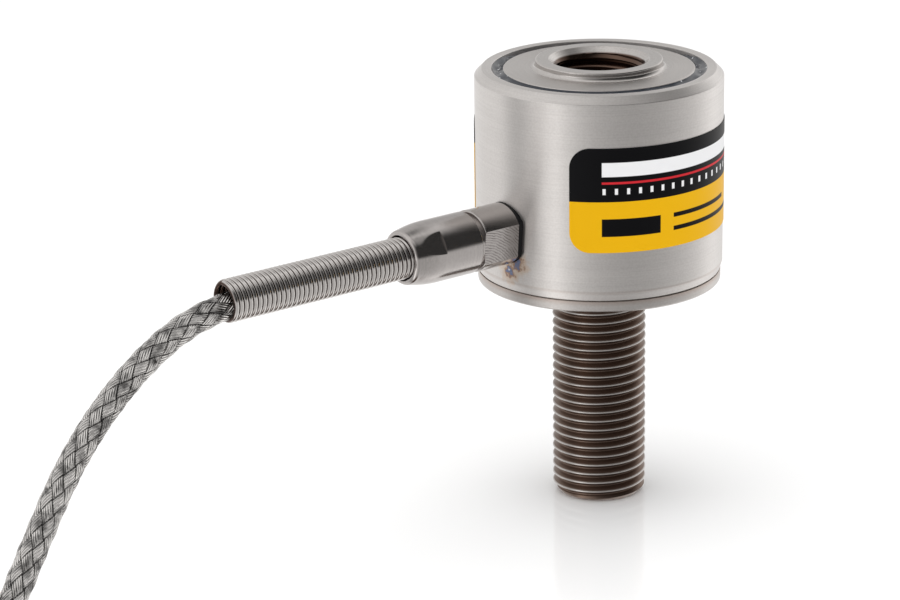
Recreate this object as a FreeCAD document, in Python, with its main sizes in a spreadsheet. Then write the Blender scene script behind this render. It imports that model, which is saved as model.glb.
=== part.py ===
"""Rod end load cell: a turned steel sensing element with a male stud below and a female thread above,
a round shell round it, and a gland with a spring strain relief that lets the braided cable out.

The origin is the centre of the stud's lower end, +Z is the load axis and the cable leaves along -X.
All sizes are in millimetres.
"""

import FreeCAD, Part
import math
import os

import Sketcher
from FreeCAD import Placement, Rotation, Vector

# Driving dimensions, each written once
SIZES = {
    # male stud, 1/2-20 thread at its major diameter
    "stud_radius": 6.35,
    "stud_length": 30.6,
    "stud_chamfer": 0.8,
    "stud_root": 1.0,
    "stud_root_step": 0.25,
    # base flange that carries the shell, and its spigot inside the shell
    "flange_inset": 0.25,
    "flange_height": 1.5,
    "flange_edge": 0.35,
    "spigot_height": 1.9,
    "spigot_clearance": 0.05,
    # square sensing column and the hub above it
    "column_side": 7.6,
    "column_fillet": 0.9,
    "hub_gap": 5.6,
    "board_step": 1.2,
    "board_step_height": 1.2,
    # top disc and boss with the female thread at its minor diameter
    "disc_height": 2.06,
    "disc_edge": 0.2,
    "boss_radius": 8.5,
    "boss_height": 1.17,
    "boss_fillet": 0.7,
    "boss_edge": 0.15,
    "bore_radius": 5.72,
    "bore_depth": 12.0,
    "bore_mouth": 1.03,
    "drill_point": 3.3,
    "bore_floor": 0.23,
    # outer shell
    "shell_radius": 16.65,
    "shell_wall": 2.05,
    "shell_height": 27.66,
    "shell_chamfer": 1.0,
    "lip_width": 2.3,
    "lip_height": 2.0,
    "bevel_height": 0.95,
    "bevel_depth": 0.35,
    "seam_height": 0.25,
    "seam_depth": 0.3,
    # seal between the shell's lip and the disc
    "seal_width": 1.5,
    "seal_height": 1.6,
    "seal_recess": 0.3,
    # labels on the shell
    "label_thickness": 0.1,
    "label_height": 14.1,
    "label_rise": 6.8,
    "label_corner": 2.7,
    "front_label_width": 34.5,
    "front_label_angle": 275.0,
    "rear_label_width": 28.0,
    "rear_label_angle": 95.0,
    # cable gland
    "gland_rise": 7.85,
    "spotface_depth": 0.55,
    "spotface_radius": 4.5,
    "gasket_thickness": 1.3,
    "gasket_radius": 4.25,
    "nose_radius": 3.0,
    "nose_length": 1.9,
    "nose_clearance": 0.02,
    "grip_radius": 4.15,
    "grip_length": 5.2,
    "grip_flat": 3.47,
    "grip_flat_angle": -4.0,
    "grip_edge": 0.2,
    "neck_radius": 3.5,
    "neck_length": 0.75,
    "thread_radius": 3.25,
    "thread_length": 4.8,
    "bush_radius": 2.45,
    "bush_length": 3.1,
    "washer_thickness": 0.4,
    "washer_radius": 3.2,
    "washer_bore": 1.9,
    # gland nut
    "nut_radius": 4.15,
    "nut_length": 10.65,
    "nut_edge": 0.2,
    "nut_taper_length": 5.0,
    "nut_shoulder_radius": 3.65,
    "nut_lip_radius": 3.25,
    "nut_lip_length": 0.6,
    "nut_bore_radius": 2.95,
    "nut_flat": 3.85,
    "nut_flat_length": 4.6,
    "nut_flat_angle": 31.0,
    # close-wound spring, with each turn as a ring
    "spring_radius": 2.8,
    "spring_wire": 0.7,
    "spring_pitch": 0.7125,
    "spring_turns": 47,
    "spring_notch_depth": 0.3,
    "spring_stock": 0.04,
    # cable
    "cable_radius": 1.7,
    "cable_clearance": 0.1,
    "cable_inset": 1.2,
    "cable_hold": 50.0,
    # strain gauges and bridge board; a pad's or chip's place is its distance from the board's rim
    "gauge_length": 5.5,
    "gauge_width": 5.2,
    "gauge_thickness": 0.15,
    "board_thickness": 0.8,
    "board_clearance": 0.5,
    "board_bore_clearance": 0.05,
    "pad_side": 1.1,
    "pad_thickness": 0.25,
    "conductor_radius": 0.4,
    "conductor_offset_y": 0.8,
    "conductor_offset_z": 0.5,
    "conductor_pad_outer": 1.9,
    "conductor_pad_inner": 3.2,
    "jumper_radius": 0.15,
    "jumper_offset": 2.2,
    "jumper_pad": 2.5,
    "jumper_rise": 1.5,
    "chip_length": 2.2,
    "chip_width": 1.3,
    "chip_height": 0.6,
    "chip_place": 2.1,
    # coil of put-away cable: turns side by side and on each other, a tie, and the free end on top
    "coil_centre_x": -134.0,
    "coil_centre_y": 8.0,
    "coil_inner_turn": 12.9,
    "coil_columns": 5,
    "coil_layers": 5,
    "coil_corner": 1.2,
    "tie_angle": 60.0,
    "tie_width": 5.0,
    "tie_thickness": 0.6,
    "tie_proud": 0.3,
    "tail_offset": 15.0,
    "tail_angle": 150.0,
    "tail_length": 16.0,
    "sleeve_length": 11.0,
    "sleeve_wall": 0.25,
    "lead_radius": 0.55,
    "lead_length": 24.0,
}

# The cable's route from inside the spring to the coil, chosen by hand: x, y, z
CABLE_ROUTE = [
    (-50.0, 0.0, 39.95),
    (-63.2, 0.0, 39.95),
    (-74.5, -0.3, 35.3),
    (-86.0, -2.2, 26.6),
    (-96.0, -6.0, 15.2),
    (-106.0, -11.0, 5.0),
    (-115.0, -14.6, 1.7),
    (-124.6, -15.9, 1.7),
]

doc = FreeCAD.newDocument("RodEndLoadCell")


class Size:
    """A length together with the sheet expression that gives it, so that a feature can be bound to it."""

    def __init__(self, text, value):
        self.text = text
        self.value = value

    def _with(self, sign, other, result):
        text = other.text if isinstance(other, Size) else repr(other)
        return Size(f"({self.text} {sign} {text})", result)

    def __add__(self, other):
        return self._with("+", other, self.value + number(other))

    def __sub__(self, other):
        return self._with("-", other, self.value - number(other))

    def __mul__(self, other):
        return self._with("*", other, self.value * number(other))

    def __truediv__(self, other):
        return self._with("/", other, self.value / number(other))

    def __neg__(self):
        return Size(f"(0 - {self.text})", -self.value)


def number(size):
    """The plain number of a Size, or of a number."""
    return size.value if isinstance(size, Size) else float(size)


def make_sheet():
    """The spreadsheet of driving dimensions, one aliased cell each."""
    sheet = doc.addObject("Spreadsheet::Sheet", "Dimensions")
    for row, (alias, value) in enumerate(SIZES.items(), start=1):
        sheet.set(f"A{row}", alias)
        sheet.set(f"B{row}", str(value))
        sheet.setAlias(f"B{row}", alias)
    doc.recompute()
    return sheet


class Sizes:
    """The sheet's cells as Size attributes."""

    def __init__(self, sheet):
        for alias in SIZES:
            setattr(self, alias, Size(f"Dimensions.{alias}", float(sheet.get(alias))))


d = Sizes(make_sheet())
ZERO = Size("0", 0.0)

# Levels along the load axis
STUD_END = d.stud_length + d.stud_root
FLANGE_TOP = d.stud_length + d.flange_height
COLUMN_FOOT = FLANGE_TOP + d.spigot_height
SHELL_TOP = FLANGE_TOP + d.shell_height
BOSS_TOP = SHELL_TOP + d.boss_height
BORE_END = BOSS_TOP - d.bore_depth
COLUMN_TOP = BORE_END - d.drill_point - d.bore_floor
COLUMN_HEIGHT = COLUMN_TOP - COLUMN_FOOT
SEAL_TOP = SHELL_TOP - d.seal_recess
BOARD_BOTTOM = COLUMN_TOP + d.board_step_height
BOARD_TOP = BOARD_BOTTOM + d.board_thickness
PAD_BOTTOM = BOARD_BOTTOM - d.pad_thickness

# Radii that follow the stud and the shell
ROOT_RADIUS = d.stud_radius + d.stud_root_step
FLANGE_RADIUS = d.shell_radius - d.flange_inset
SHELL_BORE = d.shell_radius - d.shell_wall
LIP_RADIUS = d.shell_radius - d.lip_width
DISC_RADIUS = LIP_RADIUS - d.seal_width
HUB_RADIUS = SHELL_BORE - d.hub_gap
BOARD_RADIUS = SHELL_BORE - d.board_clearance
JUMPER_PLACE = BOARD_RADIUS - d.jumper_pad
CHIP_PLACE = BOARD_RADIUS - d.chip_place

# Distances from the load axis along the gland
GLAND_Z = FLANGE_TOP + d.gland_rise
SEAT = d.shell_radius - d.spotface_depth
NOSE_END = SEAT - d.nose_length
GRIP_START = SEAT + d.gasket_thickness
GRIP_END = GRIP_START + d.grip_length
NUT_START = GRIP_END + d.neck_length
GLAND_END = NUT_START + d.thread_length
BUSH_START = GLAND_END + 0.1 - d.bush_length
BUSH_END = BUSH_START + d.bush_length
SPRING_START = BUSH_END + d.washer_thickness
SPRING_LENGTH = d.spring_pitch * d.spring_turns
NUT_END = NUT_START + d.nut_length
CABLE_BORE = d.cable_radius + d.cable_clearance
CABLE_INNER_END = SHELL_BORE - d.cable_inset

# Outer shape of the coil
CABLE_WIDTH = d.cable_radius * 2
COIL_INNER = d.coil_inner_turn - d.cable_radius
COIL_OUTER = COIL_INNER + CABLE_WIDTH * d.coil_columns
COIL_HEIGHT = CABLE_WIDTH * d.coil_layers

# Turns a piece made along +Z so that it lies along -X, with its own X up
ALONG_GLAND = Rotation(Vector(0, 1, 0), -90)


def bind(thing, prop, size):
    thing.setExpression(prop, size.text)


def origin_plane(body, role):
    return next(f for f in body.Origin.OriginFeatures if f.Role == role)


def make_body(label, along_gland=False):
    """An empty body named as its node. One along the gland is made along +Z and then turned to -X."""
    body = doc.addObject("PartDesign::Body", label)
    body.Label = label
    if along_gland:
        body.Placement = Placement(Vector(0, 0, GLAND_Z.value), ALONG_GLAND)
        bind(body, "Placement.Base.z", GLAND_Z)
    return body


def outline(body, name, corners, role="XZ_Plane"):
    """A closed outline on one of the body's own planes. A corner is (x, y), or (x, y, (cx, cy)) where
    the edge to the next corner is an arc about (cx, cy). Each corner is bound to the sheet."""
    sketch = body.newObject("Sketcher::SketchObject", name)
    sketch.AttachmentSupport = (origin_plane(body, role), [""])
    sketch.MapMode = "FlatFace"
    places = [Vector(number(c[0]), number(c[1]), 0) for c in corners]
    starts = []
    for i, corner in enumerate(corners):
        here = places[i]
        there = places[(i + 1) % len(corners)]
        if len(corner) == 2:
            sketch.addGeometry(Part.LineSegment(here, there), False)
            starts.append((1, 2))
            continue
        centre = Vector(number(corner[2][0]), number(corner[2][1]), 0)
        first = math.atan2(here.y - centre.y, here.x - centre.x)
        last = math.atan2(there.y - centre.y, there.x - centre.x)
        forward = (last - first) % (2 * math.pi) < math.pi
        circle = Part.Circle(centre, Vector(0, 0, 1), (here - centre).Length)
        span = (first, last) if forward else (last, first)
        sketch.addGeometry(Part.ArcOfCircle(circle, *span), False)
        starts.append((1, 2) if forward else (2, 1))
    for i, corner in enumerate(corners):
        after = (i + 1) % len(corners)
        sketch.addConstraint(Sketcher.Constraint("Coincident", i, starts[i][1], after, starts[after][0]))
    for i, corner in enumerate(corners):
        targets = [("DistanceX", i, starts[i][0], corner[0]), ("DistanceY", i, starts[i][0], corner[1])]
        if len(corner) == 3:
            targets.append(("DistanceY", i, 3, corner[2][1]))
        for kind, edge, end, size in targets:
            index = sketch.addConstraint(Sketcher.Constraint(kind, -1, 1, edge, end, number(size)))
            if isinstance(size, Size):
                sketch.setExpression(f"Constraints[{index}]", size.text)
    return sketch


def revolve(body, name, corners):
    """A full turn of an outline in the body's XZ plane about its Z axis."""
    sketch = outline(body, name + "_outline", corners)
    turned = body.newObject("PartDesign::Revolution", name)
    turned.Profile = sketch
    turned.ReferenceAxis = (sketch, ["V_Axis"])
    turned.Angle = 360
    body.Tip = turned
    doc.recompute()
    return turned


def ring_edges(feature, radius, height):
    """Names of the circular edges of that radius at that height in the body's own frame."""
    names = []
    for i, edge in enumerate(feature.Shape.Edges, start=1):
        curve = edge.Curve
        if isinstance(curve, Part.Circle):
            if abs(curve.Radius - radius) < 1e-4 and abs(curve.Center.z - height) < 1e-4:
                names.append(f"Edge{i}")
    return names


def round_edges(body, name, names, radius):
    """Rounds those edges of the body's tip."""
    base = body.Tip
    fillet = body.newObject("PartDesign::Fillet", name)
    fillet.Base = (base, names)
    bind(fillet, "Radius", radius)
    body.Tip = fillet
    doc.recompute()
    return fillet


def pad(body, name, corners, foot, height, role="XY_Plane"):
    """Extrudes an outline on the body's XY plane from one level up by a height."""
    sketch = outline(body, name + "_outline", corners, role)
    bind(sketch, "AttachmentOffset.Base.z", foot)
    block = body.newObject("PartDesign::Pad", name)
    block.Profile = sketch
    bind(block, "Length", height)
    body.Tip = block
    doc.recompute()
    return block


def tool(kind, name, **sizes):
    """A Part primitive whose sizes are bound to the sheet."""
    thing = doc.addObject(kind, name)
    for prop, size in sizes.items():
        bind(thing, prop, size) if isinstance(size, Size) else setattr(thing, prop, size)
    return thing


def place(thing, x=ZERO, y=ZERO, z=ZERO, rotation=Rotation()):
    """Puts a piece at a place that is bound to the sheet."""
    thing.Placement = Placement(Vector(number(x), number(y), number(z)), rotation)
    for axis, size in (("x", x), ("y", y), ("z", z)):
        if isinstance(size, Size):
            bind(thing, f"Placement.Base.{axis}", size)


def cut(label, base, *tools):
    """The base less the tools, under the node's name."""
    cutter = tools[0]
    if len(tools) > 1:
        cutter = doc.addObject("Part::MultiFuse", label + "_cutters")
        cutter.Shapes = list(tools)
    result = doc.addObject("Part::Cut", label + "_cut")
    result.Base = base
    result.Tool = cutter
    base.Label = label + "_blank"
    result.Label = label
    return result


def make_male_stud():
    """The stud that carries the load below: the lower part of the same bar of steel as the flange."""
    body = make_body("male_stud")
    corners = [
        (ZERO, ZERO),
        (d.stud_radius - d.stud_chamfer, ZERO),
        (d.stud_radius, d.stud_chamfer),
        (d.stud_radius, d.stud_length),
        (ROOT_RADIUS, d.stud_length),
        (ROOT_RADIUS, STUD_END),
        (ZERO, STUD_END),
    ]
    revolve(body, "stud_bar", corners)
    return body


def make_sensing_element():
    """Flange, spigot, column, hub, disc and boss: turned and milled in one with the stud."""
    body = make_body("sensing_element_turned")
    half = d.column_side / 2
    lower = [
        (ZERO, STUD_END),
        (ROOT_RADIUS, STUD_END),
        (ROOT_RADIUS, d.stud_length),
        (FLANGE_RADIUS - d.flange_edge, d.stud_length),
        (FLANGE_RADIUS, d.stud_length + d.flange_edge),
        (FLANGE_RADIUS, FLANGE_TOP),
        (SHELL_BORE - d.spigot_clearance, FLANGE_TOP),
        (SHELL_BORE - d.spigot_clearance, COLUMN_FOOT),
        (ZERO, COLUMN_FOOT),
    ]
    revolve(body, "flange_and_spigot", lower)
    column = [(-half, -half), (half, -half), (half, half), (-half, half)]
    pad(body, "column", column, COLUMN_FOOT, COLUMN_HEIGHT)
    corner_reach = half.value * math.sqrt(2)
    upper = [
        (ZERO, COLUMN_TOP),
        (HUB_RADIUS + d.board_step, COLUMN_TOP),
        (HUB_RADIUS + d.board_step, BOARD_BOTTOM),
        (HUB_RADIUS, BOARD_BOTTOM),
        (HUB_RADIUS, SHELL_TOP - d.disc_height),
        (DISC_RADIUS, SHELL_TOP - d.disc_height),
        (DISC_RADIUS, SHELL_TOP - d.disc_edge),
        (DISC_RADIUS - d.disc_edge, SHELL_TOP),
        (d.boss_radius, SHELL_TOP),
        (d.boss_radius, BOSS_TOP - d.boss_edge),
        (d.boss_radius - d.boss_edge, BOSS_TOP),
        (d.bore_radius + d.bore_mouth, BOSS_TOP),
        (d.bore_radius, BOSS_TOP - d.bore_mouth),
        (d.bore_radius, BORE_END),
        (ZERO, BORE_END - d.drill_point),
    ]
    revolve(body, "hub_and_boss", upper)
    foot_edges = [
        f"Edge{i}"
        for i, edge in enumerate(body.Tip.Shape.Edges, start=1)
        if min(abs(edge.CenterOfMass.z - level.value) for level in (COLUMN_FOOT, COLUMN_TOP)) < 1e-6
        and math.hypot(edge.CenterOfMass.x, edge.CenterOfMass.y) < corner_reach
        and edge.BoundBox.XMax - edge.BoundBox.XMin < d.column_side.value
    ]
    round_edges(body, "column_fillets", foot_edges, d.column_fillet)
    boss_root = ring_edges(body.Tip, d.boss_radius.value, SHELL_TOP.value)
    round_edges(body, "boss_root_fillet", boss_root, d.boss_fillet)
    body.Label = "sensing_element"
    return body


def make_outer_shell():
    """The shell's tube with its lip, chamfer, bevel and seam, less the gland's spot face and hole."""
    body = make_body("outer_shell_turned")
    corners = [
        (SHELL_BORE, FLANGE_TOP),
        (d.shell_radius - d.bevel_depth - d.seam_depth, FLANGE_TOP),
        (d.shell_radius - d.bevel_depth - d.seam_depth, FLANGE_TOP + d.seam_height),
        (d.shell_radius - d.bevel_depth, FLANGE_TOP + d.seam_height),
        (d.shell_radius, FLANGE_TOP + d.seam_height + d.bevel_height),
        (d.shell_radius, SHELL_TOP - d.shell_chamfer),
        (d.shell_radius - d.shell_chamfer, SHELL_TOP),
        (LIP_RADIUS, SHELL_TOP),
        (LIP_RADIUS, SHELL_TOP - d.lip_height),
        (SHELL_BORE, SHELL_TOP - d.lip_height),
    ]
    revolve(body, "shell_tube", corners)
    spotface = tool("Part::Cylinder", "spotface", Radius=d.spotface_radius, Height=d.shell_wall)
    place(spotface, x=-SEAT, z=GLAND_Z, rotation=ALONG_GLAND)
    hole = tool("Part::Cylinder", "gland_hole", Radius=d.nose_radius + d.nose_clearance, Height=d.shell_radius)
    place(hole, z=GLAND_Z, rotation=ALONG_GLAND)
    return cut("outer_shell", body, spotface, hole)


def make_top_seal():
    """A ring of sealant between disc and lip, a little lower than both."""
    body = make_body("top_seal")
    foot = SEAL_TOP - d.seal_height
    corners = [(DISC_RADIUS, foot), (LIP_RADIUS, foot), (LIP_RADIUS, SEAL_TOP), (DISC_RADIUS, SEAL_TOP)]
    revolve(body, "seal_ring", corners)
    return body


def make_label(label, width, angle):
    """A thin sheet bent round the shell, with rounded corners."""
    outer = d.shell_radius + d.label_thickness
    foot = FLANGE_TOP + d.label_rise
    degrees = width / d.shell_radius * (180 / math.pi)
    sector = tool("Part::Cylinder", label + "_sector", Radius=outer, Height=d.label_height, Angle=degrees)
    core = tool("Part::Cylinder", label + "_core", Radius=d.shell_radius, Height=d.label_height)
    corner_tools = [core]
    start = number(angle) - number(degrees) / 2
    for side in (0, 1):
        for end in (0, 1):
            corner_tools.append(corner_cutter(f"{label}_corner_{side}{end}", degrees, side, end))
    sheet = cut(label, sector, *corner_tools)
    sheet.Placement = Placement(Vector(0, 0, foot.value), Rotation(Vector(0, 0, 1), start))
    bind(sheet, "Placement.Base.z", foot)
    bind(sheet, "Placement.Rotation.Angle", angle - degrees / 2)
    return sheet


def corner_cutter(name, degrees, side, end):
    """What is cut off one corner of a label: a square less a quarter round, pointing out from the axis."""
    reach = d.shell_radius + d.label_thickness * 4
    square = tool("Part::Box", name + "_square", Length=reach, Width=d.label_corner, Height=d.label_corner)
    place(square, y=-d.label_corner if side else ZERO, z=d.label_height - d.label_corner if end else ZERO)
    disc = tool("Part::Cylinder", name + "_round", Radius=d.label_corner, Height=reach * 2)
    place(
        disc,
        x=ZERO,
        y=-d.label_corner if side else d.label_corner,
        z=d.label_height - d.label_corner if end else d.label_corner,
        rotation=Rotation(Vector(0, 1, 0), 90),
    )
    cutter = doc.addObject("Part::Cut", name)
    cutter.Base = square
    cutter.Tool = disc
    if side:
        cutter.Placement = Placement(Vector(), Rotation(Vector(0, 0, 1), degrees.value))
        bind(cutter, "Placement.Rotation.Angle", degrees)
    return cutter


def mill_flats(body, name, radius, distance, angle, start, length):
    """Two opposite flats on a turned body, at that distance from its axis and turned by that angle."""
    reach = radius + 1
    corners = [(-reach, -reach), (reach, -reach), (reach, -distance), (-reach, -distance)]
    sketch = outline(body, name + "_outline", corners, "XY_Plane")
    sketch.AttachmentOffset = Placement(Vector(0, 0, start.value), Rotation(Vector(0, 0, 1), angle.value))
    bind(sketch, "AttachmentOffset.Base.z", start)
    bind(sketch, "AttachmentOffset.Rotation.Angle", angle)
    base = body.Tip
    pocket = body.newObject("PartDesign::Pocket", name)
    pocket.Profile = sketch
    pocket.Reversed = True
    bind(pocket, "Length", length)
    body.Tip = pocket
    doc.recompute()
    pair = body.newObject("PartDesign::PolarPattern", name + "_pair")
    pair.Originals = [pocket]
    pair.Axis = (sketch, ["N_Axis"])
    pair.Angle = 360
    pair.Occurrences = 2
    body.Tip = pair
    doc.recompute()
    if pair.Shape.Volume > base.Shape.Volume - 1e-3:
        raise RuntimeError(f"{name} cuts nothing")
    return pair


def make_gland_body():
    """Nose through the shell, grip with two wrench flats, neck, and the thread that takes the nut."""
    body = make_body("gland_body", along_gland=True)
    corners = [
        (CABLE_BORE, NOSE_END),
        (d.nose_radius, NOSE_END),
        (d.nose_radius, GRIP_START),
        (d.grip_radius - d.grip_edge, GRIP_START),
        (d.grip_radius, GRIP_START + d.grip_edge),
        (d.grip_radius, GRIP_END - d.grip_edge),
        (d.grip_radius - d.grip_edge, GRIP_END),
        (d.neck_radius, GRIP_END),
        (d.neck_radius, NUT_START),
        (d.thread_radius, NUT_START),
        (d.thread_radius, GLAND_END),
        (d.bush_radius, GLAND_END),
        (d.bush_radius, BUSH_START),
        (CABLE_BORE, BUSH_START),
    ]
    revolve(body, "gland_turned", corners)
    mill_flats(body, "grip_flat", d.grip_radius, d.grip_flat, d.grip_flat_angle, GRIP_START, d.grip_length)
    return body


def make_gland_nut():
    """Nut with a curved taper to its mouth and two short flats milled into the taper."""
    body = make_body("gland_nut", along_gland=True)
    taper_start = NUT_END - d.nut_taper_length
    lip_start = NUT_END - d.nut_lip_length
    length = d.nut_taper_length - d.nut_lip_length
    drop = d.nut_radius - d.nut_shoulder_radius
    taper_radius = (length * length + drop * drop) / (drop * 2)
    corners = [
        (d.thread_radius, NUT_START),
        (d.nut_radius - d.nut_edge, NUT_START),
        (d.nut_radius, NUT_START + d.nut_edge),
        (d.nut_radius, taper_start, (d.nut_radius - taper_radius, taper_start)),
        (d.nut_shoulder_radius, lip_start),
        (d.nut_lip_radius, NUT_END),
        (d.nut_bore_radius, NUT_END),
        (d.nut_bore_radius, SPRING_START),
        (d.thread_radius, SPRING_START),
    ]
    revolve(body, "nut_turned", corners)
    flat_start = NUT_END - d.nut_flat_length
    mill_flats(body, "nut_flat", d.nut_radius, d.nut_flat, d.nut_flat_angle, flat_start, d.nut_flat_length)
    return body


def make_ring(label, inner, outer, start, end):
    """A plain ring along the gland."""
    body = make_body(label, along_gland=True)
    revolve(body, label + "_ring", [(inner, start), (outer, start), (outer, end), (inner, end)])
    return body


def make_relief_spring():
    """The strain relief spring: a sleeve with a V notch between each two of its close-wound turns."""
    body = make_body("relief_spring", along_gland=True)
    inner = d.spring_radius - d.spring_wire
    root = d.spring_radius - d.spring_notch_depth
    blank = d.spring_radius + d.spring_stock
    half = d.spring_pitch / 2 * (d.spring_notch_depth + d.spring_stock) / d.spring_notch_depth
    end = SPRING_START + SPRING_LENGTH
    revolve(
        body,
        "spring_sleeve",
        [
            (inner, SPRING_START),
            (root, SPRING_START),
            (blank, SPRING_START + half),
            (blank, end - half),
            (root, end),
            (inner, end),
        ],
    )
    first = SPRING_START + d.spring_pitch
    sketch = outline(body, "notch_outline", [(root, first), (blank, first + half), (blank, first - half)])
    groove = body.newObject("PartDesign::Groove", "notch")
    groove.Profile = sketch
    groove.ReferenceAxis = (sketch, ["V_Axis"])
    groove.Angle = 360
    body.Tip = groove
    doc.recompute()
    pattern = body.newObject("PartDesign::LinearPattern", "notches")
    pattern.Originals = [groove]
    pattern.Direction = (sketch, ["V_Axis"])
    bind(pattern, "Length", SPRING_LENGTH - d.spring_pitch * 2)
    bind(pattern, "Occurrences", d.spring_turns - 1)
    body.Tip = pattern
    doc.recompute()
    return body


def path_wire(points):
    """Straight runs joined by tangent arcs, each as large as its two runs allow."""
    points = [Vector(*p) for p in points]
    edges = []
    radii = []
    here = points[0]
    for before, corner, after in zip(points, points[1:], points[2:]):
        to_corner = (corner - before).normalize()
        from_corner = (after - corner).normalize()
        half_turn = to_corner.getAngle(from_corner) / 2
        shorter = min((corner - before).Length, (after - corner).Length)
        radius = 0.45 * shorter / math.tan(half_turn)
        back = radius * math.tan(half_turn)
        start = corner - to_corner * back
        end = corner + from_corner * back
        inward = (from_corner - to_corner).normalize()
        middle = corner + inward * (radius / math.cos(half_turn) - radius)
        edges.append(Part.LineSegment(here, start).toShape())
        edges.append(Part.Arc(start, middle, end).toShape())
        radii.append(round(radius, 1))
        here = end
    edges.append(Part.LineSegment(here, points[-1]).toShape())
    return Part.Wire(edges), radii


def tube_along(wire, radius):
    """A round solid along a wire, with mitred corners where the wire has them."""
    start = wire.Edges[0]
    circle = Part.makeCircle(radius, start.valueAt(start.FirstParameter), start.tangentAt(start.FirstParameter))
    return wire.makePipeShell([Part.Wire([circle])], True, True, 1)


def solid_piece(label, shape, placement=None):
    """A piece whose form is given by a shape and not by features."""
    piece = doc.addObject("Part::Feature", label)
    piece.Label = label
    piece.Shape = shape
    if placement:
        piece.Placement = placement
    return piece


def make_strain_gauge(index):
    """One foil gauge bonded to a face of the column, at its middle."""
    label = f"strain_gauge_{index + 1}"
    gauge = tool("Part::Box", label, Length=d.gauge_thickness, Width=d.gauge_width, Height=d.gauge_length)
    half = d.column_side / 2
    foot = COLUMN_FOOT + COLUMN_HEIGHT / 2 - d.gauge_length / 2
    corner = Vector(half.value, -d.gauge_width.value / 2, 0)
    turn = Rotation(Vector(0, 0, 1), 90 * index)
    gauge.Placement = Placement(turn.multVec(corner) + Vector(0, 0, foot.value), turn)
    side, across = (half, -(d.gauge_width / 2))
    x, y = [(side, across), (-across, side), (-side, -across), (across, -side)][index]
    place(gauge, x=x, y=y, z=foot, rotation=turn)
    gauge.Label = label
    return gauge


def pad_places():
    """Where the wires meet the bridge board: the four cable conductors, then two for each gauge."""
    y = d.conductor_offset_y.value
    far = (d.conductor_pad_outer - BOARD_RADIUS).value
    near = (d.conductor_pad_inner - BOARD_RADIUS).value
    places = [(far, y), (far, -y), (near, y), (near, -y)]
    for index in range(4):
        turn = Rotation(Vector(0, 0, 1), 90 * index)
        for side in (-1, 1):
            spot = turn.multVec(Vector(JUMPER_PLACE.value, side * d.jumper_offset.value, 0))
            places.append((spot.x, spot.y))
    return places


def make_bridge_board():
    """A ring board on the hub's step."""
    body = make_body("bridge_board")
    inner = HUB_RADIUS + d.board_bore_clearance
    rim = BOARD_RADIUS
    revolve(body, "board_ring", [(inner, BOARD_BOTTOM), (rim, BOARD_BOTTOM), (rim, BOARD_TOP), (inner, BOARD_TOP)])
    return body


def make_solder_pads():
    """The board's square solder pads, in one node."""
    half = d.pad_side.value / 2
    corner = Vector(half, half, 0)
    pads = [
        Part.makeBox(d.pad_side.value, d.pad_side.value, d.pad_thickness.value, Vector(x, y, PAD_BOTTOM.value) - corner)
        for x, y in pad_places()
    ]
    return solid_piece("solder_pads", Part.makeCompound(pads))


def make_chip(label, degrees):
    """A trim resistor that lies flat on the board."""
    chip = tool("Part::Box", label, Length=d.chip_width, Width=d.chip_length, Height=d.chip_height)
    turn = Rotation(Vector(0, 0, 1), degrees)
    corner = turn.multVec(Vector((CHIP_PLACE - d.chip_width / 2).value, -d.chip_length.value / 2, 0))
    chip.Placement = Placement(corner + Vector(0, 0, BOARD_TOP.value), turn)
    bind(chip, "Placement.Base.z", BOARD_TOP)
    chip.Label = label
    return chip


def make_conductors():
    """The cable's four cores, from its inner end up to the board's pads."""
    level = GLAND_Z.value
    rise = d.conductor_offset_z.value
    for colour, (x, y), up in zip(("red", "black", "green", "white"), pad_places(), (rise, rise, -rise, -rise)):
        end = Vector(-CABLE_INNER_END.value, y, level + up)
        corner = Vector(x, y, level + up)
        wire = Part.makePolygon([end, corner, Vector(x, y, PAD_BOTTOM.value)])
        solid_piece(f"conductor_{colour}", tube_along(wire, d.conductor_radius.value))


def make_jumper_wires():
    """Two fine wires from each gauge out and up to the board, in one node."""
    gauge_face = d.column_side.value / 2 + d.gauge_thickness.value
    level = (COLUMN_FOOT + COLUMN_HEIGHT / 2 + d.jumper_rise).value
    wires = []
    for index in range(4):
        turn = Rotation(Vector(0, 0, 1), 90 * index)
        for side in (-1, 1):
            across = side * d.jumper_offset.value
            points = [
                Vector(gauge_face, across, level),
                Vector(JUMPER_PLACE.value, across, level),
                Vector(JUMPER_PLACE.value, across, PAD_BOTTOM.value),
            ]
            wire = Part.makePolygon([turn.multVec(p) for p in points])
            wires.append(tube_along(wire, d.jumper_radius.value))
    return solid_piece("jumper_wires", Part.makeCompound(wires))


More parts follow.
